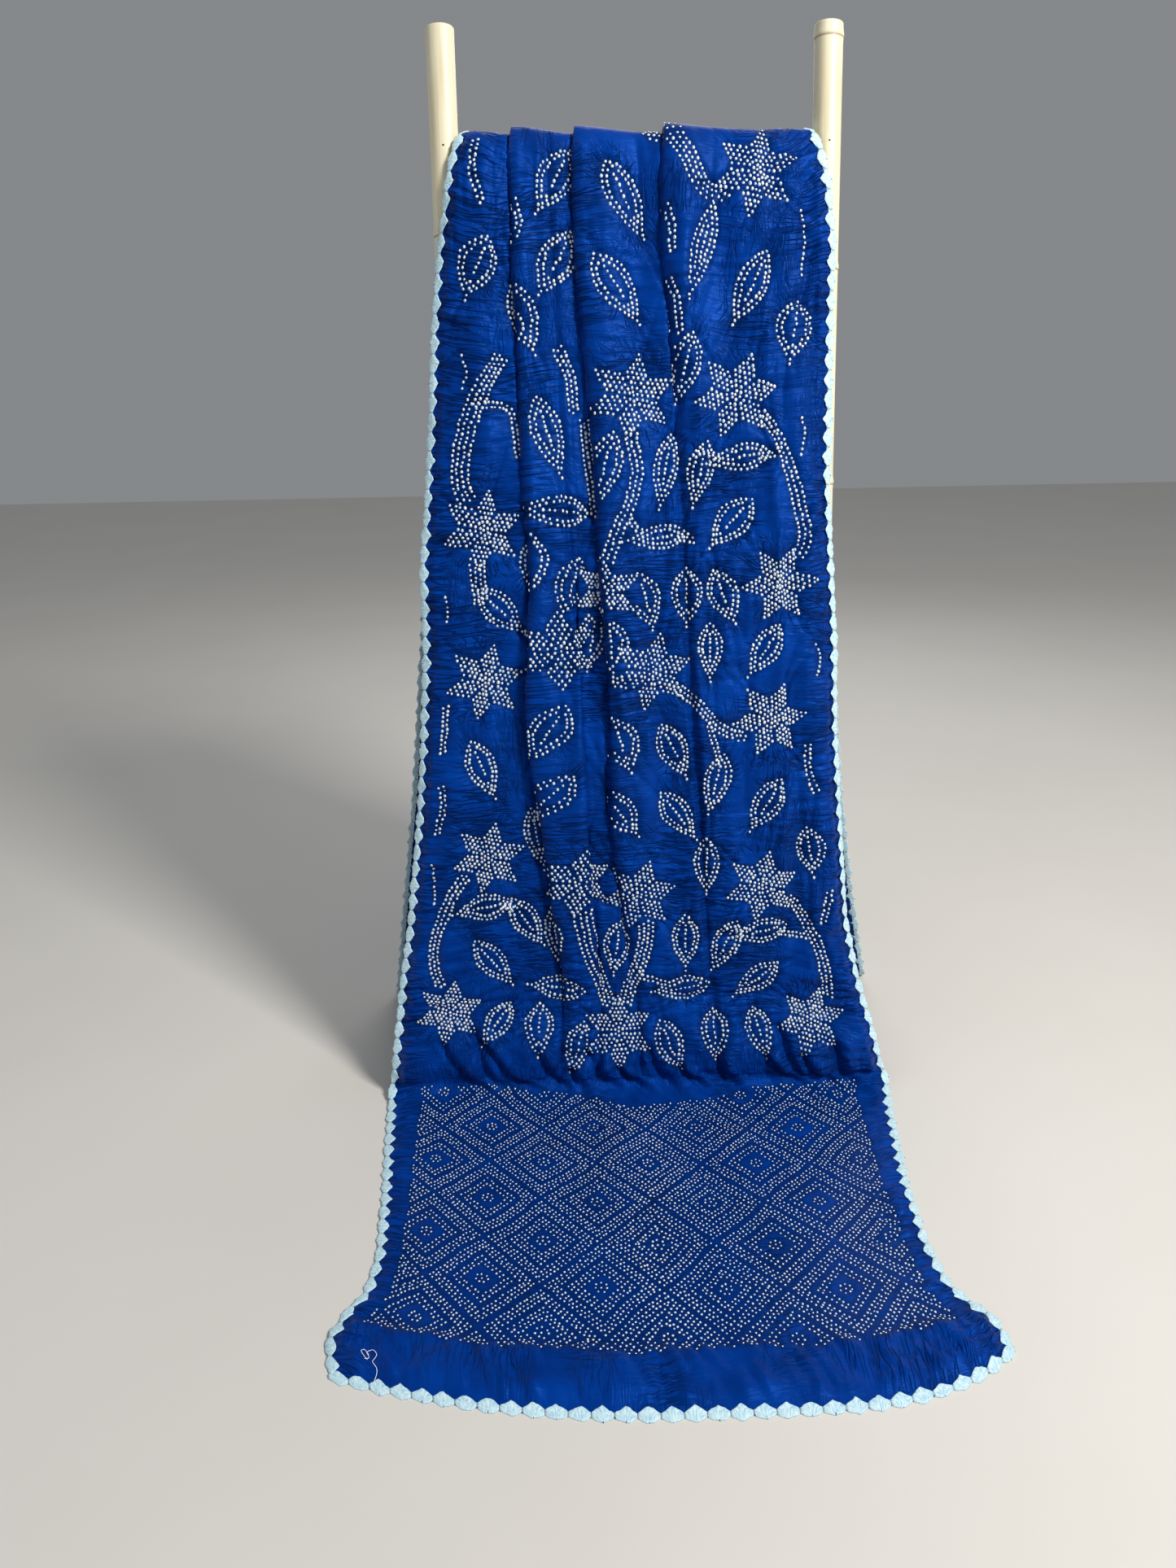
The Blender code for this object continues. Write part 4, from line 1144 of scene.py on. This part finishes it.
def swells(across, run):
    """The broad soft swells and hollows, gone on the floor and over the rung."""
    hanging = np.clip((run - SWELL_FROM) / SWELL_FADE, 0.0, 1.0)
    hanging = hanging * np.clip((SWELL_TO - run) / SWELL_FADE, 0.0, 1.0)
    climb = np.clip(1.0 - np.abs(run - RUNG_RUN) / HANG, 0.0, 1.0)
    total = np.zeros_like(across)
    for number, (low_x, top_x, half, height) in enumerate(SWELLS):
        sway = SWELL_SWAY * noise(number * 5.0, run * 4.5, 51.0)
        strength = 0.8 + 0.5 * noise(number * 3.0, run * 5.0, 52.0)
        total = total + height * strength * bell(across - low_x - (top_x - low_x) * climb - sway, half)
    return total * hanging


def figure_rays(across, run):
    """Direction square to the outline of the nearest figure, and how near that outline is.

    A figure counts as an oval of half axes a and b: q = |(x / a, y / b)| is 1 on its
    outline, and the direction is that of (x / a^2, y / b^2)."""
    figures = [(x, y, 0.0, radius, radius) for x, y, radius, _ in STARS]
    figures += [(x, y, lean, 0.55 * length, 0.60 * width) for x, y, lean, length, width in LEAVES]
    figures = np.array(figures) * (0.001, 0.001, np.pi / 180, 0.001, 0.001)
    mirrored = figures * (-1, -1, 1, 1, 1) + (0, BACK_MIRROR / 1000, 0, 0, 0)
    best = np.full(across.shape, 9.0)
    second = np.full(across.shape, 9.0)
    east, north = np.zeros_like(across), np.zeros_like(across)
    for x, y, lean, long, wide in np.vstack((figures, mirrored)):
        near = np.abs(run[:, 0] - y) < 0.12
        u, v = across[near] - x, run[near] - y
        tip = u * np.sin(lean) + v * np.cos(lean)
        side = u * np.cos(lean) - v * np.sin(lean)
        ratio = np.hypot(tip / long, side / wide)
        closer = ratio < best[near]
        second[near] = np.where(closer, best[near], np.minimum(second[near], ratio))
        best[near] = np.where(closer, ratio, best[near])
        size = np.maximum(np.hypot(tip / long ** 2, side / wide ** 2), 1e-9)
        east[near] = np.where(closer, side / wide ** 2 / size, east[near])
        north[near] = np.where(closer, tip / long ** 2 / size, north[near])
    close = np.where(best < 1.0, bell(best - 1.0, 0.25), bell(best - 1.0, 0.45))
    return east, north, close * rise((second - best) / 0.20 - 1.0)


def surface_normals(grid):
    """Unit directions square to a grid of points, outwards from the ladder."""
    normals = np.cross(np.gradient(grid, axis=1), np.gradient(grid, axis=0))
    return normals / np.linalg.norm(normals, axis=2, keepdims=True)


# Stretches of mesh rows: run at the start, run at the stop, number of steps.
PANEL_END = 0.600
OVER_RUNG = 2.030
ROWS = (
    (0.000, PANEL_END, 180),
    (PANEL_END, 0.760, 62),
    (0.760, 1.960, 372),
    (1.960, OVER_RUNG, 16),
    (OVER_RUNG, 3.400, 300),
    (3.400, CLOTH_LENGTH, 10),
)
# Mesh steps across the cloth: edge to lip, through the lip, lip to lip and so on.
LANE_STEPS = (50, 8, 16, 8, 18, 8, 36, 6, 68)
SILK_LEAST_Z = 0.0006         # the silk stays this far off the floor


def lane_places(run):
    """Places across the cloth of the mesh columns: close at each fold's lip, wide between."""
    marks = [column(PLAN, PLAN_COLUMNS, "left", run)]
    for name in FOLD_NAMES:
        place = column(PLAN, PLAN_COLUMNS, name, run)
        marks.extend((place - LIP_HALF, place + LIP_HALF))
    marks.append(column(PLAN, PLAN_COLUMNS, "right", run))
    lanes = [
        marks[index] + (marks[index + 1] - marks[index]) * step / steps
        for index, steps in enumerate(LANE_STEPS)
        for step in range(steps)
    ]
    return np.stack(lanes + [marks[-1]], axis=1)


def crease_lines(tree, place, scale, mask):
    """Narrow creases where a stretched noise crosses its middle, as strong as the mask."""
    stretched = add_node(tree, "ShaderNodeMapping", {"Vector": place, "Scale": scale})
    field = add_node(
        tree, "ShaderNodeTexNoise",
        {"Vector": stretched.outputs[0], "Scale": 1.0, "Detail": 1.5, "Distortion": 0.4},
    )
    off = add_node(tree, "ShaderNodeMath", {0: field.outputs[0], 1: 0.5}, operation="SUBTRACT")
    size = add_node(tree, "ShaderNodeMath", {0: off.outputs[0]}, operation="ABSOLUTE")
    line = add_node(
        tree, "ShaderNodeMapRange", {0: size.outputs[0], 1: 0.0, 2: 0.075, 3: 1.0, 4: 0.0},
        interpolation_type="SMOOTHSTEP",
    )
    return add_node(tree, "ShaderNodeMath", {0: line.outputs[0], 1: mask}, operation="MULTIPLY").outputs[0]


def silk_finish():
    """Satin silk, dip-dyed indigo blue: a soft sheen on each fold, darker where it was
    bound, and the sharp small creases that the knots leave, with painted shade in them."""
    finish, tree, shader = new_finish("dip-dyed satin silk", Roughness=0.42, Sheen_Weight=0.04)
    shader.inputs["Sheen Tint"].default_value = linear("#3F80FF")
    shader.inputs["Specular IOR Level"].default_value = 0.38
    shader.inputs["Specular Tint"].default_value = linear("#3F86FF")
    place = add_node(tree, "ShaderNodeUVMap", uv_map="chart").outputs[0]
    marks = {
        label: add_node(tree, "ShaderNodeAttribute", attribute_name=label).outputs["Fac"]
        for label in ("tied", "drawn", "level", "upright", "ray_east", "ray_north", "rays")
    }
    # Slow uneven take-up of the dye, patches 60 mm wide.
    cloud = add_node(tree, "ShaderNodeTexNoise", {"Vector": place, "Scale": 16.0, "Detail": 4.0})
    cloud_part = add_node(tree, "ShaderNodeMapRange", {0: cloud.outputs[0], 1: 0.3, 2: 0.7})
    dyed = add_node(
        tree, "ShaderNodeMix",
        {0: cloud_part.outputs[0], 6: linear("#002B78"), 7: linear("#003A98")},
        data_type="RGBA",
    )
    tied_part = add_node(tree, "ShaderNodeMapRange", {0: marks["tied"], 1: 0.15, 2: 0.85, 4: 0.65})
    bound = add_node(
        tree, "ShaderNodeMix",
        {0: tied_part.outputs[0], 6: dyed.outputs[2], 7: linear("#001D52")},
        data_type="RGBA",
    )
    # Level creases about 8 mm apart and 60 mm long, drawn in from the edging and the folds.
    across = add_node(tree, "ShaderNodeSeparateXYZ", {0: place}).outputs[0]
    drawn = add_node(tree, "ShaderNodeCombineXYZ", {0: across, 1: marks["drawn"]}).outputs[0]
    level = crease_lines(tree, drawn, (16.0, 125.0, 1.0), marks["level"])
    # Upright ones about 9 mm apart and 45 mm long, in the border, the band and between figures.
    upright = crease_lines(tree, place, (115.0, 22.0, 1.0), marks["upright"])
    # Short ones about 9 mm apart round a star, square to the outline of each figure.
    around = add_node(
        tree, "ShaderNodeCombineXYZ", {0: marks["ray_east"], 1: marks["ray_north"], 2: marks["drawn"]}
    ).outputs[0]
    rays = crease_lines(tree, around, (6.0, 6.0, 45.0), marks["rays"])
    two = add_node(tree, "ShaderNodeMath", {0: level, 1: upright}, operation="MAXIMUM").outputs[0]
    deep = add_node(tree, "ShaderNodeMath", {0: two, 1: rays}, operation="MAXIMUM").outputs[0]
    # Painted shade: the silk's colour darkens towards near-black navy along the small creases.
    shade = add_node(tree, "ShaderNodeMapRange", {0: deep, 4: 0.72}).outputs[0]
    shaded = add_node(
        tree, "ShaderNodeMix",
        {0: shade, 6: bound.outputs[2], 7: linear("#00123A")},
        data_type="RGBA",
    )
    tree.links.new(shaded.outputs[2], shader.inputs["Base Color"])
    # Level crinkles 4 mm apart and 20 mm long, drawn twice as coarse as the finest real ones.
    crinkle_place = add_node(tree, "ShaderNodeMapping", {"Vector": drawn, "Scale": (50.0, 240.0, 1.0)})
    crinkle = add_node(
        tree, "ShaderNodeTexNoise",
        {"Vector": crinkle_place.outputs[0], "Scale": 1.0, "Detail": 3.0, "Roughness": 0.6},
    )
    # The weave is 0.1 mm and too fine to show, so its threads are drawn 0.5 mm apart.
    weave = add_node(tree, "ShaderNodeTexNoise", {"Vector": place, "Scale": 2000.0, "Detail": 1.0})
    low = add_node(
        tree, "ShaderNodeBump", {"Height": deep, "Strength": 1.0, "Distance": 0.0020}, invert=True
    )
    middle = add_node(
        tree, "ShaderNodeBump",
        {"Height": crinkle.outputs[0], "Strength": 0.35, "Distance": 0.0040, "Normal": low.outputs[0]},
    )
    fine = add_node(
        tree, "ShaderNodeBump",
        {"Height": weave.outputs[0], "Strength": 0.15, "Distance": 0.0003, "Normal": middle.outputs[0]},
    )
    tree.links.new(fine.outputs[0], shader.inputs["Normal"])
    return finish


def crease_marks(across, run):
    """What the silk's finish reads at each point: where its small creases lie and how strong their bump and
    their painted shade are.
    """
    edge = edge_distance(across, run)
    near_rung = np.clip(1.0 - np.abs(run - RUNG_RUN) / SLANT_OVER, 0.0, 1.0)
    slant = GATHER_SLANT * near_rung * edge * np.sign(RUNG_RUN - run) * bell(edge, 0.12)
    drawn = run + slant + 0.006 * noise(across * 17.0, run * 9.0, 41.0)
    uneven = 0.75 + 0.35 * noise(across * 3.0, run * 12.0, 42.0)
    level = np.minimum(1.3 * uneven * bell(edge, 0.042 + 0.034 * near_rung), 1.0)
    for seed, name in enumerate(FOLD_NAMES):
        behind = across - column(PLAN, PLAN_COLUMNS, name, run)
        bundle = np.clip(1.6 * noise(seed * 3.0, run * 13.0, 43.0), 0.0, 1.0)
        level = np.maximum(level, bundle * rise(behind / 0.006) * bell(behind, 0.034))
        level = np.maximum(level, 0.8 * bundle * rise(-behind / 0.006) * bell(behind, 0.026))
    patch = np.clip(2.2 * noise(across * 12.0, run * 15.0, 44.0) + 0.25, 0.0, 0.95)
    hanging = rise((run - 0.60) / 0.04)
    level = np.maximum(level * (0.85 + 0.15 * hanging), patch * hanging)
    border = rise((BORDER_TO + 0.01 - run) / 0.015)
    band = bell(run - BAND_RUN, 0.045)
    other = np.clip(2.0 * noise(across * 15.0, run * 11.0, 45.0) - 0.6, 0.0, 0.55)
    hem = border * np.clip(0.25 + 0.5 * noise(across * 20.0, run * 20.0, 47.0), 0.0, 0.6)
    upright = np.maximum(np.maximum(hem, 0.5 * band), other * hanging)
    east, north, close = figure_rays(across, run)
    rays = close * np.clip(0.55 + 0.8 * noise(across * 20.0, run * 20.0, 46.0), 0.0, 1.0) * hanging
    return {
        "drawn": drawn, "level": level, "upright": upright,
        "ray_east": east, "ray_north": north, "rays": rays,
    }


def inside_edges(knots, margin):
    """Knots in metres that lie further than margin inside both edges of the cloth."""
    left = column(PLAN, PLAN_COLUMNS, "left", knots[:, 1])
    right = column(PLAN, PLAN_COLUMNS, "right", knots[:, 1])
    return knots[(knots[:, 0] > left + margin) & (knots[:, 0] < right - margin)]


above_panel = front_knots[front_knots[:, 1] > PANEL_TO + FIELD_GAP]
field_placed = inside_edges(above_panel / 1000, FIELD_MARGIN)
widened = np.clip((panel[:, 1] - WIDEN_FROM) / WIDEN_OVER, 0.0, 1.0)
panel_margin = PANEL_MARGIN + PANEL_MARGIN_TOP * widened
panel_placed = inside_edges(panel / 1000, panel_margin / 1000)
back_placed = inside_edges(back_knots / 1000, FIELD_MARGIN)
density = knot_density(np.vstack((field_placed, panel_placed, back_placed)))

runs = np.concatenate([np.linspace(start, stop, steps, endpoint=False) for start, stop, steps in ROWS])
runs = np.append(runs, CLOTH_LENGTH)
lanes = lane_places(runs)
rows_run = np.repeat(runs[:, None], lanes.shape[1], axis=1)
tied_map = read_density(density, lanes, rows_run)
marks = crease_marks(lanes, rows_run)
marks["tied"] = tied_map
smooth_grid = cloth_point(lanes, rows_run)
lifted = surface_normals(smooth_grid) * relief(lanes, rows_run, tied_map)[..., None]
cloth_grid = smooth_grid + lifted
cloth_grid[..., 2] = np.maximum(cloth_grid[..., 2], SILK_LEAST_Z)
cloth_normals = surface_normals(cloth_grid)
silk = silk_finish()


def add_cloth(name, start, stop):
    """The cloth's grid between two runs as one sheet, with its chart in metres."""
    rows = slice(*np.searchsorted(runs, (start - 1e-6, stop + 1e-6)))
    grid = cloth_grid[rows]
    uv = np.stack((lanes[rows], rows_run[rows]), axis=-1)
    piece = add_piece(
        name, grid.reshape(-1, 3), grid_faces(*grid.shape[:2]), silk,
        uv.reshape(-1, 2), {label: values[rows].ravel() for label, values in marks.items()},
    )
    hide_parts("cloth")
    return piece


cloth_panel = add_cloth("cloth_panel", 0.0, PANEL_END)
cloth_front = add_cloth("cloth_front", PANEL_END, OVER_RUNG)
cloth_back = add_cloth("cloth_back", OVER_RUNG, CLOTH_LENGTH)

# Knots
# Each bound point stands up as a tiny peak of undyed silk, pale blue-white, some with a
# dark speck on top where the needle or nail lifted it. It shows on both sides of the cloth.
FIELD_HALF = 0.00212          # half a knot's width
PANEL_HALF = 0.00140          # the same in the end panel
MIDDLE_SWELL = 0.15           # the panel's knots are larger along its middle
KNOT_PEAK = 0.0009
KNOT_SEAT = 0.0003            # a knot's rim stands this far off the silk
KNOT_SIDES = 6                # corners of its rim
KNOT_LEAST_Z = 0.0001
KNOT_TURN = 0.35              # radians that a knot may be turned either way
# Spread of a knot's size, of its length over its width and of its height.
KNOT_SIZES = (0.84, 1.18)
KNOT_LONG = (1.0, 1.35)
KNOT_TALL = (0.8, 1.2)


def knot_finish():
    """Undyed silk: matt blue-white, and on some knots a blue speck where dye seeped in."""
    finish, tree, shader = new_finish("undyed tied silk", Roughness=0.55)
    place = add_node(tree, "ShaderNodeUVMap", uv_map="chart").outputs[0]
    parts = add_node(tree, "ShaderNodeSeparateXYZ", {0: place}).outputs
    # The speck fills the top quarter of the peak, on about four knots in ten.
    peak = add_node(tree, "ShaderNodeMapRange", {0: parts[0], 1: 0.70, 2: 0.82}).outputs[0]
    some = add_node(tree, "ShaderNodeMapRange", {0: parts[1], 1: 0.45, 2: 0.75}).outputs[0]
    speck = add_node(tree, "ShaderNodeMath", {0: peak, 1: some}, operation="MULTIPLY")
    pale = add_node(
        tree, "ShaderNodeMix",
        {0: parts[1], 6: linear("#F8FDFF"), 7: linear("#D3ECFD")},
        data_type="RGBA",
    )
    marked = add_node(
        tree, "ShaderNodeMix",
        {0: speck.outputs[0], 6: pale.outputs[2], 7: linear("#2F62AE")},
        data_type="RGBA",
    )
    tree.links.new(marked.outputs[2], shader.inputs["Base Color"])
    return finish


def knot_frames(knots):
    """Place and three directions on the cloth's grid for each knot, read between its lines."""
    row = np.clip(np.searchsorted(runs, knots[:, 1], side="right") - 1, 0, len(runs) - 2)
    part_row = ((knots[:, 1] - runs[row]) / (runs[row + 1] - runs[row]))[:, None]
    here = lanes[row] * (1 - part_row) + lanes[row + 1] * part_row
    lane = np.clip((here <= knots[:, :1]).sum(axis=1) - 1, 0, lanes.shape[1] - 2)
    each = np.arange(len(knots))
    low, high = here[each, lane], here[each, lane + 1]
    part_lane = ((knots[:, 0] - low) / (high - low))[:, None]

    def read(grid):
        near = grid[row, lane] * (1 - part_lane) + grid[row, lane + 1] * part_lane
        far = grid[row + 1, lane] * (1 - part_lane) + grid[row + 1, lane + 1] * part_lane
        return near, far

    near, far = read(cloth_grid)
    normal = sum(read(cloth_normals))
    normal /= np.linalg.norm(normal, axis=1, keepdims=True)
    along = far - near
    along -= normal * (along * normal).sum(axis=1, keepdims=True)
    along /= np.linalg.norm(along, axis=1, keepdims=True)
    return near * (1 - part_row) + far * part_row, np.cross(along, normal), along, normal


def add_knots(name, knots, half):
    """Flat six-cornered peaks: the corners just off the silk, one peak outside, one inside."""
    count = len(knots)
    place, over, along, normal = knot_frames(knots)
    turn = chance.uniform(-KNOT_TURN, KNOT_TURN, count)[:, None]
    size = (half * chance.uniform(*KNOT_SIZES, count))[:, None, None]
    long = chance.uniform(*KNOT_LONG, count)[:, None, None]
    angle = turn + 2 * np.pi * np.arange(KNOT_SIDES) / KNOT_SIDES
    cos, sin = np.cos(angle)[..., None], np.sin(angle)[..., None]
    rim = place[:, None] + size * (over[:, None] * cos + along[:, None] * sin * long)
    rim = rim + normal[:, None] * KNOT_SEAT
    tall = KNOT_PEAK * chance.uniform(*KNOT_TALL, count)[:, None]
    peaks = np.stack((place + normal * tall, place - normal * tall), axis=1)
    points = np.concatenate((rim, peaks), axis=1)
    points[..., 2] = np.maximum(points[..., 2], KNOT_LEAST_Z)
    corner = np.arange(KNOT_SIDES)
    after = (corner + 1) % KNOT_SIDES
    outer = np.stack((corner, after, np.full(KNOT_SIDES, KNOT_SIDES)), axis=1)
    inner = np.stack((after, corner, np.full(KNOT_SIDES, KNOT_SIDES + 1)), axis=1)
    shape = np.vstack((outer, inner))
    faces = (shape + np.arange(count)[:, None, None] * (KNOT_SIDES + 2)).reshape(-1, 3)
    light = np.repeat(chance.uniform(0.0, 1.0, count), KNOT_SIDES + 2)
    peak = np.tile((0.0,) * KNOT_SIDES + (1.0, 1.0), count)
    return add_piece(name, points.reshape(-1, 3), faces, undyed, np.stack((peak, light), axis=1))


undyed = knot_finish()
knots_field = add_knots("knots_field", field_placed, FIELD_HALF)
panel_half = PANEL_HALF * (1.0 + MIDDLE_SWELL * bell(panel_placed[:, 0] - PANEL_FIRST[0] / 1000, 0.04))
knots_panel = add_knots("knots_panel", panel_placed, panel_half)
knots_back = add_knots("knots_back", back_placed, FIELD_HALF)

# Edging
# A pale blue ribbon, folded and drawn up with a thread every 26 mm, so that it makes a
# row of little pleated lozenges. It is sewn over all four edges of the cloth.
EDGING_PITCH = 0.0265
EDGING_THICK = 0.0024
EDGING_STATIONS = 11          # rings of points along a lozenge
EDGING_RING = 16              # points round its section
EDGING_LEAST_Z = 0.0002
CRUSH = 0.0007                # how far its faces are dented
LOZENGE_SHARE = 0.98          # part of the pitch that a lozenge takes up
LOZENGE_SIZES = (0.90, 1.08)  # spread of its reach
HEM_OVERHANG = 0.010          # the rows at the two hems run on this far past the corners
EDGING_SEAT = 0.0009          # the ribbon's middle stands this far off the silk
# Reach inwards and outwards, width at the thread, its middle's place outwards of the
# cloth's edge, and the roundness of its inner and outer side (1 is a straight-sided point).
SIDE_LOZENGE = (0.0074, 0.0096, 0.0052, 0.0036, 1.1, 1.6)
HEM_LOZENGE = (0.0092, 0.0094, 0.0062, 0.0012, 1.2, 1.7)
UNEVEN_RIM = 0.0017           # how far the rim of a lozenge strays


def ribbon_finish():
    """Crushed satin ribbon, pleated by its thread: pale ice blue with a painted highlight on
    each pleat's crest and painted shade in its hollows, and blue specks where the dark thread shows."""
    finish, tree, shader = new_finish("crushed satin ribbon", Roughness=0.42, Sheen_Weight=0.15)
    chart = add_node(tree, "ShaderNodeUVMap", uv_map="chart").outputs[0]
    # Pleats fan out from the thread, about nine to a lozenge, so about 3 mm apart.
    pleat_place = add_node(tree, "ShaderNodeMapping", {"Vector": chart, "Scale": (1.2, 8.0, 1.0)})
    pleat = add_node(
        tree, "ShaderNodeTexNoise", {"Vector": pleat_place.outputs[0], "Scale": 1.0, "Detail": 3.0}
    )
    pleat_part = add_node(tree, "ShaderNodeMapRange", {0: pleat.outputs[0], 1: 0.34, 2: 0.60})
    # Painted highlight and shade: the pleat noise that sets the bump makes crests lighter and hollows
    # darker.
    blue = add_node(
        tree, "ShaderNodeMix",
        {0: pleat_part.outputs[0], 6: linear("#9AD0EA"), 7: linear("#DDF6FB")},
        data_type="RGBA",
    )
    # Specks of thread about 2 mm wide.
    place = add_node(tree, "ShaderNodeTexCoord").outputs["Object"]
    speck = add_node(tree, "ShaderNodeTexNoise", {"Vector": place, "Scale": 330.0, "Detail": 1.0})
    stitch = add_node(tree, "ShaderNodeAttribute", attribute_name="stitch").outputs["Fac"]
    both = add_node(tree, "ShaderNodeMath", {0: speck.outputs[0], 1: stitch}, operation="MULTIPLY")
    thread = add_node(tree, "ShaderNodeMapRange", {0: both.outputs[0], 1: 0.42, 2: 0.52, 4: 0.85})
    marked = add_node(
        tree, "ShaderNodeMix",
        {0: thread.outputs[0], 6: blue.outputs[2], 7: linear("#12418C")},
        data_type="RGBA",
    )
    tree.links.new(marked.outputs[2], shader.inputs["Base Color"])
    bump = add_node(
        tree, "ShaderNodeBump", {"Height": pleat.outputs[0], "Strength": 0.9, "Distance": 0.0012}
    )
    tree.links.new(bump.outputs[0], shader.inputs["Normal"])
    return finish


def add_edging(name, edge, outward, normal, lozenge, node):
    """A row of lozenges along an edge, each a closed ring carried from pinch to pinch.

    Each rim runs from the pinch by reach (1 - |s|^p) for s from -1 to 1, the section is a
    flat oval, and small noise crushes its two faces and its rims."""
    inner, outer, narrow, seat, inner_power, outer_power = lozenge
    steps = np.linalg.norm(np.diff(edge, axis=0), axis=1)
    length = np.concatenate(([0.0], np.cumsum(steps)))
    count = int(round(length[-1] / EDGING_PITCH))
    share = np.linspace(-1.0, 1.0, EDGING_STATIONS)
    pitch = length[-1] / count
    centre = (np.arange(count) + 0.5) * pitch
    varied = chance.uniform(*LOZENGE_SIZES, count)[:, None]
    along = centre[:, None] + share * pitch * LOZENGE_SHARE / 2

    def read(values):
        return np.stack([np.interp(along, length, values[:, axis]) for axis in range(3)], axis=-1)

    base, out, up = (read(values)[:, :, None] for values in (edge, outward, normal))
    ragged = UNEVEN_RIM * noise(along * 260.0, 0.0 * along, 22.0) * (1.0 - share ** 2)
    high = seat + narrow / 2 + (outer - seat - narrow / 2) * (1.0 - np.abs(share) ** outer_power) * varied
    low = seat - narrow / 2 - (inner + seat - narrow / 2) * (1.0 - np.abs(share) ** inner_power) * varied
    half = (high - low) / 2 + ragged
    middle = (high + low) / 2
    angle = np.linspace(0.0, 2 * np.pi, EDGING_RING, endpoint=False)
    number = np.arange(count)[:, None, None]
    crush = CRUSH * noise(3.2 * np.cos(angle) + number * 7.3, along[..., None] * 330.0 + 0.0 * angle, 21.0)
    lateral = middle[..., None] + half[..., None] * np.cos(angle)
    tall = EDGING_THICK / 2 * np.sin(angle) + crush * np.sin(angle) ** 2 + EDGING_SEAT
    points = base + out * lateral[..., None] + up * tall[..., None]
    least_z = EDGING_LEAST_Z + EDGING_THICK * np.maximum(np.sin(angle), 0.0)
    points[..., 2] = np.maximum(points[..., 2], least_z)
    ring = np.arange(EDGING_RING)
    after = (ring + 1) % EDGING_RING
    start = (np.arange(EDGING_STATIONS - 1) * EDGING_RING)[:, None]
    stop = start + EDGING_RING
    sides = np.stack((start + ring, start + after, stop + after, stop + ring), axis=-1)
    fold = np.arange(EDGING_RING // 2 - 1)
    cap = np.stack((fold, fold + 1, EDGING_RING - 2 - fold, EDGING_RING - 1 - fold), axis=1)
    last = (EDGING_STATIONS - 1) * EDGING_RING
    shape = np.vstack((sides.reshape(-1, 4), cap[:, ::-1], cap + last))
    faces = (shape + np.arange(count)[:, None, None] * EDGING_STATIONS * EDGING_RING).reshape(-1, 4)
    fan = number * 7.0 + share[:, None] * (1.0 + 0.6 * np.cos(angle))
    uv = np.stack(np.broadcast_arrays(np.cos(angle), fan), axis=-1)
    at_thread = np.maximum(bell(share, 0.16), bell(np.abs(share) - 1.0, 0.22))[:, None]
    stitch = np.broadcast_to(at_thread * rise((np.cos(angle) - 0.5) / 0.3), tall.shape)
    piece = add_piece(
        name, points.reshape(-1, 3), faces, ribbon, uv.reshape(-1, 2), {"stitch": stitch.ravel()}
    )
    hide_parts(node)
    return piece


def unit(values):
    """Rows of vectors brought to length 1."""
    return values / np.linalg.norm(values, axis=1, keepdims=True)


def softened(values, reach):
    """Rows averaged with their neighbours, so that the edging turns smoothly."""
    padded = np.pad(values, ((reach, reach), (0, 0)), mode="edge")
    window = np.ones(2 * reach + 1) / (2 * reach + 1)
    return np.stack([np.convolve(padded[:, axis], window, mode="valid") for axis in range(3)], axis=1)


ribbon = ribbon_finish()
for name, lane, inside in (("trim_left", 0, 5), ("trim_right", -1, -6)):
    edge = softened(cloth_grid[:, lane], 2)
    outward = unit(softened(edge - cloth_grid[:, inside], 4))
    facing = unit(softened(cloth_normals[:, lane], 6))
    add_edging(f"edging{name[4:]}", edge, outward, facing, SIDE_LOZENGE, name)
for name, row, inside in (("trim_front", 0, 4), ("trim_back", -1, -5)):
    edge = softened(cloth_grid[row], 2)
    outward = unit(softened(edge - cloth_grid[inside], 4))
    facing = unit(softened(cloth_normals[row], 6))
    first = edge[0] + unit(edge[:1] - edge[3:4])[0] * HEM_OVERHANG
    last = edge[-1] + unit(edge[-1:] - edge[-4:-3])[0] * HEM_OVERHANG
    edge = np.vstack((first, edge, last))
    outward = np.vstack((outward[:1], outward, outward[-1:]))
    facing = np.vstack((facing[:1], facing, facing[-1:]))
    add_edging(f"edging{name[4:]}", edge, outward, facing, HEM_LOZENGE, name)

# Loose threads
# At the front left corner two ends of the pale sewing thread were never cut off. They
# are undyed silk, curl over the blue and drop across the edging.
THREAD_R = 0.0004             # drawn half as thick again as the real thread, so that it shows
THREAD_SIDES = 6
THREAD_LIFT = 0.0016          # its middle stands this far off the silk
THREAD_STEP = 1.2             # millimetres between its rings of points
THREADS = (
    ((-376, 21), (-371, 27), (-375, 33), (-367, 37), (-361, 31), (-366, 23), (-359, 16), (-361, 3)),
    ((-371, 30), (-378, 36), (-382, 31), (-377, 25), (-372, 22)),
)


def add_threads():
    """Round threads along smooth lines on the silk, tapering to a point at each end."""
    points, faces, count = [], [], 0
    angle = np.linspace(0.0, 2 * np.pi, THREAD_SIDES + 1)
    for marks in THREADS:
        line = even_steps(smooth_line(marks), THREAD_STEP) / 1000
        place, _, _, normal = knot_frames(line)
        centre = place + normal * THREAD_LIFT
        along = unit(np.gradient(centre, axis=0))
        side = unit(np.cross(along, normal))
        radius = THREAD_R * np.minimum(1.0, np.minimum(np.arange(len(line)), np.arange(len(line))[::-1]))
        ring = side[:, None] * np.cos(angle)[:, None] + normal[:, None] * np.sin(angle)[:, None]
        points.append((centre[:, None] + radius[:, None, None] * ring).reshape(-1, 3))
        faces.append(grid_faces(len(line), THREAD_SIDES + 1) + count)
        count += len(points[-1])
    plain = np.zeros((count, 2))
    return add_piece("threads", np.vstack(points), np.vstack(faces), undyed, plain, merge=1e-6)


threads = add_threads()
